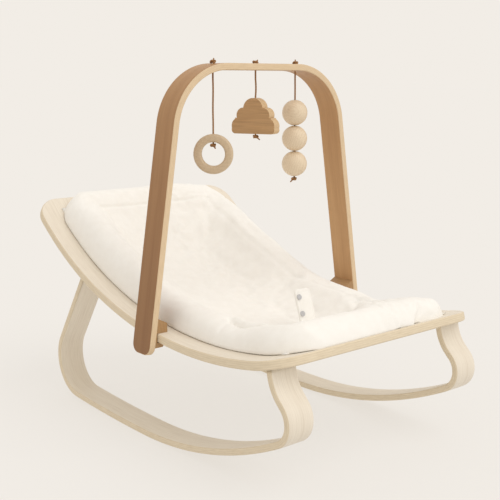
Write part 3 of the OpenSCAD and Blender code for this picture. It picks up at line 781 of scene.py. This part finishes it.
class ROCKER_OT_sling(bpy.types.Operator):
    """Sling: a canvas sheet stretched over the ring's opening, with two stowed waist straps on it"""

    bl_idname = "rocker.sling"
    bl_label = "Sling and Waist Straps"
    thick: length("Thickness", "Thickness of the canvas", 0.0018)
    strap_width: length("Strap width", "Width of the waist straps", 0.028)

    def execute(self, context):
        liner = settings("liner")
        canvas = cotton("Canvas", liner.canvas, liner.shade, weave=900.0, crinkle=0.1)
        reach = HOLE_HALF + SLING_EDGE
        ends = (END_RAIL_W - SLING_EDGE, RING_LEN - END_RAIL_W + SLING_EDGE)
        sling, flat = cloth_strip("Sling", (-reach, reach), ends, (48, 96),
                                  lambda x, s: RING_T + SLING_LIFT - sag_at(x, s),
                                  self.thick, canvas, ["seat_sling"])
        for node in ("left_waist_strap", "right_waist_strap"):
            low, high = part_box(node)
            middle = (low.y + high.y) / 2 - SEAT_AXIS.y
            s = SEAT_R * (math.asin(middle / SEAT_R) - FOOT_SLOPE)
            half = self.strap_width / 2
            strap, flat = cloth_strip(node.capitalize(), (low.x, high.x), (s - half, s + half), (24, 8),
                                      lambda x, s: RING_T + STRAP_LIFT - sag_at(x, s),
                                      STRAP_T, cotton_material(), [node])
        return {"FINISHED"}


class ROCKER_OT_liner(bpy.types.Operator):
    """Liner: a padded seat with a fat rim, filled by cloth simulation and then sewn along its seams"""

    bl_idname = "rocker.liner"
    bl_label = "Padded Liner"
    columns: IntProperty(name="Columns", description="Divisions across the liner", default=66)
    rows: IntProperty(name="Rows", description="Divisions along the liner", default=140)
    crowding: FloatProperty(name="Crowding", description="How much the rows close up towards the ends",
                            default=0.6)
    seam_inset: length("Seam inset", "Distance of the rim's seam from the liner's edge", 0.056)
    frames: IntProperty(name="Frames", description="Frames over which the liner is filled", default=20)

    def body_mesh(self):
        """The liner as a closed shell, with its flat coordinates kept on its points."""
        bm = bmesh.new()
        bmesh.ops.create_grid(bm, x_segments=self.columns, y_segments=self.rows, size=0.5)
        across = bm.verts.layers.float.new("across")
        along = bm.verts.layers.float.new("along")
        upper = bm.verts.layers.float.new("upper")
        for vert in bm.verts:
            # the rows close up towards the rounded ends
            share = vert.co.y + 0.5 - self.crowding * math.sin(math.tau * (vert.co.y + 0.5)) / math.tau
            s = LINER_FIRST + LINER_INSET + (LINER_LAST - LINER_FIRST - 2 * LINER_INSET) * share
            vert[along] = s
            vert[across] = 2 * vert.co.x * (liner_half(s) - LINER_INSET)
        bmesh.ops.recalc_face_normals(bm, faces=bm.faces)
        if bm.faces[0].normal.z > 0:
            bmesh.ops.reverse_faces(bm, faces=bm.faces)
        raised = bmesh.ops.extrude_face_region(bm, geom=bm.faces[:])["geom"]
        for vert in raised:
            if isinstance(vert, bmesh.types.BMVert):
                vert[upper] = 1.0
        for vert in bm.verts:
            x, s = vert[across], vert[along]
            vert.co = on_ring(x, s, liner_high(x, s) if vert[upper] else liner_low(x, s))
        bmesh.ops.recalc_face_normals(bm, faces=bm.faces)
        return bm

    def held(self, x, s, upper):
        """How firmly a point is held: 1 below, along the edge and on the seams."""
        inside = rim_distance(x, s)
        if not upper or inside < 0.004:
            return 1.0
        seam = 1 - smooth(abs(inside - self.seam_inset) / 0.007)
        return max(seam, self.tuck(x, s))

    @staticmethod
    def tuck(x, s):
        """Short tucks across the rim, one on each side, where its panels meet."""
        inside = rim_distance(x, s)
        near = 1 - smooth(abs(s - TUCK_S) / 0.006)
        return near * smooth(inside / 0.01) * (1 - smooth((inside - 0.040) / 0.012))

    def fill(self, piece):
        """Pumps the shell up like a filled cushion and keeps the result within the swell."""
        liner = settings("liner")
        mesh = piece.data
        count = len(mesh.vertices)
        rest = [v.co.copy() for v in mesh.vertices]
        x_of = mesh.attributes["across"].data
        s_of = mesh.attributes["along"].data
        upper_of = mesh.attributes["upper"].data
        pins = piece.vertex_groups.new(name="Held")
        for i in range(count):
            weight = self.held(x_of[i].value, s_of[i].value, upper_of[i].value)
            if weight > 0.01:
                pins.add([i], weight, "REPLACE")
        cloth = piece.modifiers.new("Filling", "CLOTH")
        cloth.settings.quality = 4
        cloth.settings.mass = 0.25
        cloth.settings.tension_stiffness = 12
        cloth.settings.compression_stiffness = 8
        cloth.settings.shear_stiffness = 4
        cloth.settings.bending_stiffness = 0.12
        cloth.settings.use_pressure = True
        cloth.settings.uniform_pressure_force = liner.pressure
        cloth.settings.shrink_min = -liner.spare_cloth
        cloth.settings.vertex_group_mass = "Held"
        cloth.settings.effector_weights.gravity = 0.0
        cloth.collision_settings.use_collision = False
        cloth.point_cache.frame_start = 1
        cloth.point_cache.frame_end = self.frames
        scene = bpy.context.scene
        for step in range(1, self.frames + 1):
            scene.frame_set(step)
        graph = bpy.context.evaluated_depsgraph_get()
        filled = [v.co.copy() for v in piece.evaluated_get(graph).data.vertices]
        piece.modifiers.remove(cloth)
        piece.vertex_groups.remove(pins)
        scene.frame_set(1)
        for vert, start, end in zip(mesh.vertices, rest, filled):
            move = end - start
            if move.length > 1e-9:
                move *= liner.swell * math.tanh(move.length / liner.swell) / move.length
            vert.co = start + move

    def sew(self, piece):
        """Presses the seams, the strap slots with their gathers and the rumples into the filled cloth."""
        mesh = piece.data
        x_of = mesh.attributes["across"].data
        s_of = mesh.attributes["along"].data
        upper_of = mesh.attributes["upper"].data
        normals = [v.normal.copy() for v in mesh.vertices]
        for vert, normal in zip(mesh.vertices, normals):
            i = vert.index
            if upper_of[i].value < 0.5:
                continue
            x, s = x_of[i].value, s_of[i].value
            inside = rim_distance(x, s)
            groove = 0.0022 * math.exp(-((inside - self.seam_inset) / 0.0028) ** 2)
            groove += 0.0018 * self.tuck(x, s)
            vert.co -= normal * (groove - self.rumple(x, s, inside) + self.slot(x, s))

    @staticmethod
    def rumple(x, s, inside):
        """Soft folds of the cloth, stronger on the rim and where the seat bends into the back."""
        if inside < 0.006:
            return 0.0
        share = smooth((inside - 0.006) / 0.02)
        broad = noise.noise(Vector((x * 14, s * 11, 0.0)))
        folds = noise.noise(Vector((x * 55 + 3, s * 26, 4.0)))
        fine = noise.noise(Vector((x * 120, s * 95, 9.0)))
        return share * (0.0020 * broad + 0.0012 * folds + 0.0005 * fine)

    @staticmethod
    def slot(x, s):
        """A strap slot on the inner side of each rim: a sunk slit with gathers that fan out from it."""
        along = s - SLOT_S
        off = abs(x) - SLOT_X + 0.007 * min(1.0, (along / SLOT_HALF) ** 2)
        beyond = max(0.0, abs(along) - SLOT_HALF)
        distance = math.hypot(off, beyond)
        taper = smooth((SLOT_HALF + 0.006 - abs(along)) / 0.016)
        slit = 0.0075 * math.exp(-(off / 0.0036) ** 2) * taper
        lip = -0.0045 * math.exp(-((off + 0.011) / 0.006) ** 2) * taper
        angle = math.atan2(along, -off - 0.002)
        fan = math.cos(angle * 17 + 2 * math.sin(s * 190)) * math.exp(-((distance - 0.022) / 0.014) ** 2)
        gathers = 0.0014 * fan * smooth((-0.012 - off) / 0.01)
        return slit + lip + gathers

    def execute(self, context):
        bm = self.body_mesh()
        piece = finish_mesh(bm, "Padded_liner", [cotton_material()], "seat", ["seat_cushion"],
                            weighted=False)
        self.fill(piece)
        finer = piece.modifiers.new("Finer", "SUBSURF")
        finer.levels = finer.render_levels = 1
        graph = bpy.context.evaluated_depsgraph_get()
        piece.data = bpy.data.meshes.new_from_object(piece.evaluated_get(graph), depsgraph=graph)
        piece.modifiers.remove(finer)
        self.sew(piece)
        return {"FINISHED"}


class ROCKER_OT_crotch_strap(bpy.types.Operator):
    """Crotch strap: a padded tab that stands up from the seat, hemmed all round"""

    bl_idname = "rocker.crotch_strap"
    bl_label = "Crotch Strap"
    long: length("Length", "Length of the strap above the liner", 0.056)
    thick: length("Thickness", "Thickness of the padded strap", 0.0046)
    tilt: angle("Tilt", "How far it stands up", 72)

    def execute(self, context):
        joint = next(j for j in frame["joints"] if j["name"] == "crotch_lift")
        low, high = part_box("crotch_strap")
        wide = high.x - low.x
        bm = bmesh.new()
        bmesh.ops.create_cube(bm, size=1.0)
        bmesh.ops.scale(bm, vec=(wide - 0.001, self.long + 0.002, self.thick), verts=bm.verts)
        bmesh.ops.translate(bm, vec=(0, self.long / 2 - 0.001, 0), verts=bm.verts)
        upright = [e for e in bm.edges
                   if abs(e.verts[0].co.z - e.verts[1].co.z) > self.thick / 2 and e.verts[0].co.y > 0.01]
        round_edges(bm, upright, 0.007, segments=5)
        round_edges(bm, rim_edges(bm), 0.0021, segments=3)
        cut_across(bm, [self.long * i / 36 for i in range(1, 36)])
        for i in range(-11, 12):
            bmesh.ops.bisect_plane(bm, geom=bm.verts[:] + bm.edges[:] + bm.faces[:],
                                   plane_co=(i * wide / 24, 0, 0), plane_no=(1, 0, 0), dist=TOUCHING)
        turn = Matrix.Rotation(self.tilt, 4, "X")
        root = Vector(joint["pos_m"])
        for vert in bm.verts:
            x, y, z = vert.co
            border = min(wide / 2 - abs(x), self.long - y)
            hem = math.exp(-((border - 0.0045) / 0.0010) ** 2) * smooth((border - 0.002) / 0.001)
            crown = 0.0008 * smooth((border - 0.006) / 0.008)
            crown += 0.0005 * noise.noise(Vector((x * 90, y * 70, 1)))
            vert.co.z = z * (1 - 0.28 * hem) + math.copysign(crown, z)
            vert.co = root + (turn @ vert.co)
        strap = finish_mesh(bm, "Crotch_strap_pad", [cotton_material()], "crotch", ["crotch_strap"],
                            weighted=False)
        return {"FINISHED"}


# ------------------------------------------------------------------ toy arch
ARCH_LO, ARCH_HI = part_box("toy_arch")
ARCH_Y = (ARCH_LO.y + ARCH_HI.y) / 2
# the arch's legs clear the rails by this much
RAIL_GAP = 0.002


class ROCKER_OT_toy_arch(bpy.types.Operator):
    """Toy arch: a bent veneered strip with rounded feet"""

    bl_idname = "rocker.toy_arch"
    bl_label = "Toy Arch"
    thick: length("Thickness", "Thickness of the arch strip", 0.010)
    flat: length("Flat", "Length of the straight part at the top", 0.141)
    corner: length("Corner", "Outer radius of the arch's corners", 0.099)
    foot_round: length("Foot round", "Radius of the corners at the arch's feet", 0.014)
    def execute(self, context):
        wood = settings("arch_wood")
        half = self.thick / 2
        clip_slope = math.asin((ARCH_Y - SEAT_AXIS.y) / SEAT_R)
        rail_z = SEAT_AXIS.z - (SEAT_R - RING_T / 2) * math.cos(clip_slope)
        foot = Vector((RING_HALF + RAIL_GAP, rail_z))
        shoulder = Vector((self.flat / 2, ARCH_HI.z - self.corner))
        to_foot = foot - shoulder
        inner = self.corner - self.thick
        turn = -math.atan2(to_foot.y, to_foot.x) + math.asin(inner / to_foot.length)
        leg = math.sqrt(to_foot.length_squared - inner ** 2) + (rail_z - ARCH_LO.z) / math.sin(turn)
        route = Route([(leg, 0), (self.corner - half, -turn), (self.flat, 0),
                       (self.corner - half, -turn), (leg, 0)], turn)
        middle, _ = route.at(route.length / 2)
        route.shift = Vector((-middle.x, ARCH_HI.z - half - middle.y))
        bm = plank(route.length, ARCH_HI.y - ARCH_LO.y, self.thick, wood.edge_round, route.cuts(),
                   end_round=self.foot_round)
        route.bend(bm, lambda across, q: Vector((q.x, ARCH_Y - across, q.y)))
        finish_mesh(bm, "Arch_strip", arch_materials(), "arch", ["toy_arch"])
        return {"FINISHED"}


class ROCKER_OT_clips(bpy.types.Operator):
    """Arch clips: C-shaped blocks that grip the side rails"""

    bl_idname = "rocker.clips"
    bl_label = "Arch Clips"
    edge_round: length("Edge round", "Radius on the clips' edges", 0.0009)
    share: FloatProperty(name="Share", description="Width of a clip as a share of the arch's width",
                         default=0.96)

    def execute(self, context):
        wood = settings("arch_wood")
        for side in ("left", "right"):
            node = side + "_clip"
            low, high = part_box(node)
            material = solid_wood(side.capitalize() + " clip wood", wood.clip, darker(wood.clip, 0.75),
                                  (low + high) / 2, (1.57, 0, 0.3), 60.0)
            block = softened(node, self.edge_round, side.capitalize() + "_clip_block", [material], "arch",
                             [node])
            # the block is a little narrower than the strip, so that its ends sit back from the strip's edges
            for vert in block.data.vertices:
                vert.co.y = ARCH_Y + (vert.co.y - ARCH_Y) * self.share
        return {"FINISHED"}


# ------------------------------------------------------------------ toys
def turned(profile, centre, axis, name, material, node, steps=72):
    """A beech piece turned on a lathe: profile is a closed line of (out, along) points."""
    bm = bmesh.new()
    verts = [bm.verts.new((out, 0, up)) for out, up in profile]
    edges = [bm.edges.new(pair) for pair in zip(verts, verts[1:] + verts[:1])]
    bmesh.ops.spin(bm, geom=verts + edges, cent=(0, 0, 0), axis=(0, 0, 1), angle=math.tau,
                   steps=steps, use_merge=True, use_duplicate=False)
    bmesh.ops.remove_doubles(bm, verts=bm.verts, dist=TOUCHING)
    bmesh.ops.recalc_face_normals(bm, faces=bm.faces)
    place = Matrix.Translation(centre) @ Vector((0, 0, 1)).rotation_difference(axis).to_matrix().to_4x4()
    bmesh.ops.transform(bm, matrix=place, verts=bm.verts)
    return finish_mesh(bm, name, [material], node, [node], weighted=False)


class ROCKER_OT_beads(bpy.types.Operator):
    """Beads: three turned beech balls on one cord"""

    bl_idname = "rocker.beads"
    bl_label = "Beads"
    bore: length("Bore", "Radius of the beads' holes", 0.0019)
    lip: length("Lip", "Radius on the mouths of the holes", 0.0008)

    def execute(self, context):
        toys = settings("toys")
        turns = ((1.2, 0.4, 0.0), (0.5, -0.9, 0.6), (-0.8, 0.7, 1.1))
        for name, turn in zip(("bead_top", "bead_middle", "bead_bottom"), turns):
            low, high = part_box(name)
            radius = (high.x - low.x) / 2
            first = math.asin((self.bore + self.lip) / radius)
            arc = [first + (math.pi - 2 * first) * i / 40 for i in range(41)]
            profile = [(radius * math.sin(a), radius * math.cos(a)) for a in arc]
            end = radius * math.cos(first) - self.lip
            profile += [(self.bore, -end), (self.bore, end)]
            wood = solid_wood(name + " wood", toys.beech, toys.beech_grain, (low + high) / 2, turn)
            turned(profile, (low + high) / 2, Vector((0, 0, 1)), name.capitalize() + "_ball", wood, name)
        return {"FINISHED"}


class ROCKER_OT_ring_toy(bpy.types.Operator):
    """Ring toy: a turned beech ring with rounded edges, hung a little turned"""

    bl_idname = "rocker.ring_toy"
    bl_label = "Ring Toy"
    hole: length("Hole", "Radius of the ring toy's hole", 0.0175)
    thick: length("Thickness", "Thickness of the ring toy", 0.013)
    edge_round: length("Edge round", "Radius on its edges", 0.0035)
    turn: angle("Turn", "How far it hangs turned", -45)

    def execute(self, context):
        toys = settings("toys")
        low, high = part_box("ring_toy")
        outer = (high.z - low.z) / 2
        centre = (low + high) / 2
        reach, half, r = outer - self.edge_round, self.thick / 2 - self.edge_round, self.edge_round
        profile = []
        for (x, z), start in (((reach, half), 0), ((self.hole + r, half), 90),
                              ((self.hole + r, -half), 180), ((reach, -half), 270)):
            for i in range(7):
                angle = math.radians(start + 15 * i)
                profile.append((x + r * math.cos(angle), z + r * math.sin(angle)))
        axis = Matrix.Rotation(self.turn, 3, "Z") @ Vector((0, -1, 0))
        wood = solid_wood("Ring toy wood", toys.ring, darker(toys.ring, 0.86), centre,
                          (1.35, 0.2, -0.7), 70.0)
        turned(profile, centre, axis, "Ring_toy_body", wood, "ring_toy", steps=96)
        return {"FINISHED"}


class ROCKER_OT_cloud_toy(bpy.types.Operator):
    """Cloud toy: a sawn board with three steps of lobes, its front darker than its sawn sides"""

    bl_idname = "rocker.cloud_toy"
    bl_label = "Cloud Toy"
    edge_round: length("Edge round", "Radius on the cloud's edges", 0.0012)

    def execute(self, context):
        toys = settings("toys")
        low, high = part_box("cloud_toy")
        centre = (low + high) / 2
        front = sawn_wood("Cloud front", toys.cloud, darker(toys.cloud, 0.87))
        sides = solid_wood("Cloud sides", toys.cloud_side, darker(toys.cloud_side, 0.8), centre,
                           (1.2, 0.3, 0.4), 80.0)
        piece = softened("cloud_toy", self.edge_round, "Cloud_board", [front, sides], "cloud_toy",
                         ["cloud_toy"])
        broad = max(piece.data.polygons, key=lambda p: p.area).normal.copy()
        for polygon in piece.data.polygons:
            polygon.material_index = 0 if abs(polygon.normal.dot(broad)) > 0.9 else 1
        return {"FINISHED"}


# ------------------------------------------------------------------ cords and knots
# how far the cut end reaches out of each strand's end knot and top knot
TAILS = {
    "ring": (Vector((0.0024, -0.002, -0.0050)), Vector((0.0025, 0.001, 0.0046))),
    "cloud": (Vector((0.0066, -0.002, -0.0048)), Vector((0.0048, 0.001, 0.0030))),
    "bead": (Vector((-0.0070, 0.001, -0.0046)), Vector((0.0008, 0.001, 0.0048))),
}
# how far each strand's line bows out as it hangs
BOWS = {"ring": 0.0003, "cloud": 0.0009, "bead": 0.0003}


def tube(name, points, radius):
    """A stretch of cord as a curve of one line."""
    curve = bpy.data.curves.new(name, "CURVE")
    curve.dimensions = "3D"
    curve.bevel_depth = radius
    curve.bevel_resolution = 3
    curve.use_fill_caps = True
    curve.resolution_u = 6
    spline = curve.splines.new("POLY")
    spline.points.add(len(points) - 1)
    for point, at in zip(spline.points, points):
        point.co = (*at, 1)
    curve.materials.append(cord_material())
    piece = bpy.data.objects.new(name, curve)
    bpy.context.scene.collection.objects.link(piece)
    return piece


def knot(name, centre, size, radius, tail, body, stands_for, turn):
    """An overhand knot drawn tight, with its cut end as a tail."""
    loops = []
    for i in range(57):
        t = math.tau * i / 56
        loops.append(Vector((math.sin(t) + 2 * math.sin(2 * t), math.cos(t) - 2 * math.cos(2 * t),
                             -1.1 * math.sin(3 * t))) * size / 3)
    spin = Matrix.Rotation(turn, 3, "Z")
    parts = [tube("part", [centre + spin @ p for p in loops], radius)]
    start = centre + tail.normalized() * size * 0.4
    bow = tail.cross(Vector((0, 0, 1))) * 0.12
    parts.append(tube("part", [start + (tail - start + centre) * (i / 6) + bow * math.sin(math.pi * i / 6)
                               for i in range(7)], radius * 0.8))
    bm = bmesh.new()
    for part in parts:
        mesh = part.to_mesh()
        bm.from_mesh(mesh)
        part.to_mesh_clear()
        bpy.data.objects.remove(part)
    bmesh.ops.recalc_face_normals(bm, faces=bm.faces)
    return finish_mesh(bm, name, [cord_material()], body, stands_for, weighted=False)


class ROCKER_OT_cords(bpy.types.Operator):
    """Cords: each hangs from a knot on the arch and ends in a knot below its toy"""

    bl_idname = "rocker.cords"
    bl_label = "Cords and Knots"
    knot_size: length("Knot size", "Half width of a knot's loops", 0.0038)

    def execute(self, context):
        radius = settings("toys").cord_width / 2
        for index, (strand, (end_tail, top_tail)) in enumerate(TAILS.items()):
            neck_low, neck_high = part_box(strand + "_cord_neck")
            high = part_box(strand + "_cord")[1]
            x, y = (neck_low.x + neck_high.x) / 2, (neck_low.y + neck_high.y) / 2
            end_low, end_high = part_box(strand + "_end_knot")
            end_knot = (end_low + end_high) / 2
            top_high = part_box(strand + "_top_knot")[1]
            top_knot = Vector((x, y, top_high.z - self.knot_size - 0.0012))
            # the neck runs up into the top knot and overlaps the line below it
            heights = (neck_high.z + 0.006, neck_high.z, (neck_low.z + high.z) / 2, high.z - 2 * radius)
            neck = tube(strand.capitalize() + "_cord_top", [Vector((x, y, z)) for z in heights], radius)
            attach(neck, strand + "_neck")
            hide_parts(strand + "_cord_neck")
            start = Vector((x, y, high.z - radius))
            drop = start.z - end_knot.z
            points = []
            for i in range(25):
                t = i / 24
                # one soft wave, which ends where the line enters its toy
                wave = math.sin(math.tau * 1.6 * t) if t < 0.625 else 0.0
                points.append(Vector((x + BOWS[strand] * wave, y, start.z - drop * t)))
            line = tube(strand.capitalize() + "_cord_line", points, radius)
            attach(line, strand + "_hanger")
            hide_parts(strand + "_cord")
            ending = knot(strand.capitalize() + "_end_knot_tied", end_knot, self.knot_size, radius,
                          end_tail, strand + "_hanger", [strand + "_end_knot"], index)
            knot(strand.capitalize() + "_top_knot_tied", top_knot, self.knot_size, radius,
                 top_tail, "arch", [strand + "_top_knot"], index + 0.5)
        return {"FINISHED"}


class ROCKER_OT_metalwork(bpy.types.Operator):
    """Metalwork: plated finish on the screws, the sling's studs and the crotch strap's studs"""

    bl_idname = "rocker.metalwork"
    bl_label = "Screws and Studs"

    def execute(self, context):
        steel = plated_steel()
        for name in ("foot_screws", "head_screws", "sling_studs", "crotch_studs", "clip_screws"):
            mesh = frame["nodes"][name].data
            mesh.materials.clear()
            mesh.materials.append(steel)
        return {"FINISHED"}


# ------------------------------------------------------------------ stage
SUN_TURN = (math.radians(38), math.radians(8), math.radians(12))
FLOOR_HALF = 60.0
CAMERA_PLACE = (-0.92345, -1.10315, 0.52963)
CAMERA_DOWN = 10.436
CAMERA_TURN = -40.38


class ROCKER_OT_stage(bpy.types.Operator):
    """Stage: a pale floor, soft light from above the foot end and the camera"""

    bl_idname = "rocker.stage"
    bl_label = "Stage"

    def execute(self, context):
        stage = settings("stage")
        scene = context.scene
        scene.view_settings.view_transform = "Standard"
        world = bpy.data.worlds.new("Studio")
        scene.world = world
        world.use_nodes = True
        sky = world.node_tree.nodes["Background"]
        sky.inputs["Color"].default_value = (*stage.backdrop, 1)
        sky.inputs["Strength"].default_value = 1.0
        light = bpy.data.lights.new("Soft main light", "SUN")
        light.energy = stage.sun
        light.angle = stage.sun_spread
        sun = bpy.data.objects.new("Soft main light", light)
        sun.rotation_euler = SUN_TURN
        scene.collection.objects.link(sun)
        # the floor's own glow and the light that it gives back add up to the backdrop's colour
        falls = (sun.rotation_euler.to_matrix() @ Vector((0, 0, 1))).z
        gain = stage.sun * falls / math.pi
        taken = stage.floor_share
        lit = tuple(c - taken * (c + gain) for c in stage.backdrop)
        bm = bmesh.new()
        bmesh.ops.create_grid(bm, x_segments=1, y_segments=1, size=FLOOR_HALF)
        mesh = bpy.data.meshes.new("Floor")
        bm.to_mesh(mesh)
        bm.free()
        material, _, shader = new_material("Floor", 1.0, Specular_IOR_Level=0.0)
        shader.inputs["Base Color"].default_value = (taken, taken, taken, 1)
        shader.inputs["Emission Color"].default_value = (*lit, 1)
        shader.inputs["Emission Strength"].default_value = 1.0
        mesh.materials.append(material)
        floor = bpy.data.objects.new("Floor", mesh)
        scene.collection.objects.link(floor)
        lens = bpy.data.cameras.new("Camera")
        lens.lens = stage.lens
        lens.sensor_width = 36.0
        camera = bpy.data.objects.new("Camera", lens)
        camera.location = CAMERA_PLACE
        camera.rotation_euler = (math.radians(90 - CAMERA_DOWN), 0, math.radians(CAMERA_TURN))
        scene.collection.objects.link(camera)
        scene.camera = camera
        return {"FINISHED"}


class ROCKER_PT_panel(bpy.types.Panel):
    """Lists the pieces in the order in which they are made"""

    bl_label = "Rocker Seat"
    bl_idname = "ROCKER_PT_panel"
    bl_space_type = "VIEW_3D"
    bl_region_type = "UI"
    bl_category = "Rocker Seat"

    def draw(self, context):
        for operator in OPERATORS:
            self.layout.operator(operator.bl_idname)
        for name, group in SETTINGS.items():
            box = self.layout.box()
            box.label(text=group.__doc__)
            for key in group.__annotations__:
                box.prop(getattr(context.scene, "rocker_" + name), key)


OPERATORS = (
    ROCKER_OT_stage, ROCKER_OT_seat_ring, ROCKER_OT_rockers, ROCKER_OT_sling, ROCKER_OT_liner,
    ROCKER_OT_crotch_strap, ROCKER_OT_toy_arch, ROCKER_OT_clips, ROCKER_OT_beads, ROCKER_OT_ring_toy,
    ROCKER_OT_cloud_toy, ROCKER_OT_cords, ROCKER_OT_metalwork,
)


def register():
    for group in SETTINGS.values():
        bpy.utils.register_class(group)
    for name, group in SETTINGS.items():
        setattr(bpy.types.Scene, "rocker_" + name, bpy.props.PointerProperty(type=group))
    for cls in (*OPERATORS, ROCKER_PT_panel):
        bpy.utils.register_class(cls)


def unregister():
    for cls in reversed((*OPERATORS, ROCKER_PT_panel)):
        bpy.utils.unregister_class(cls)
    for name in SETTINGS:
        delattr(bpy.types.Scene, "rocker_" + name)
    for group in reversed(list(SETTINGS.values())):
        bpy.utils.unregister_class(group)


def main():
    register()
    for operator in OPERATORS:
        group, name = operator.bl_idname.split(".")
        getattr(getattr(bpy.ops, group), name)()


if __name__ == "__main__":
    main()
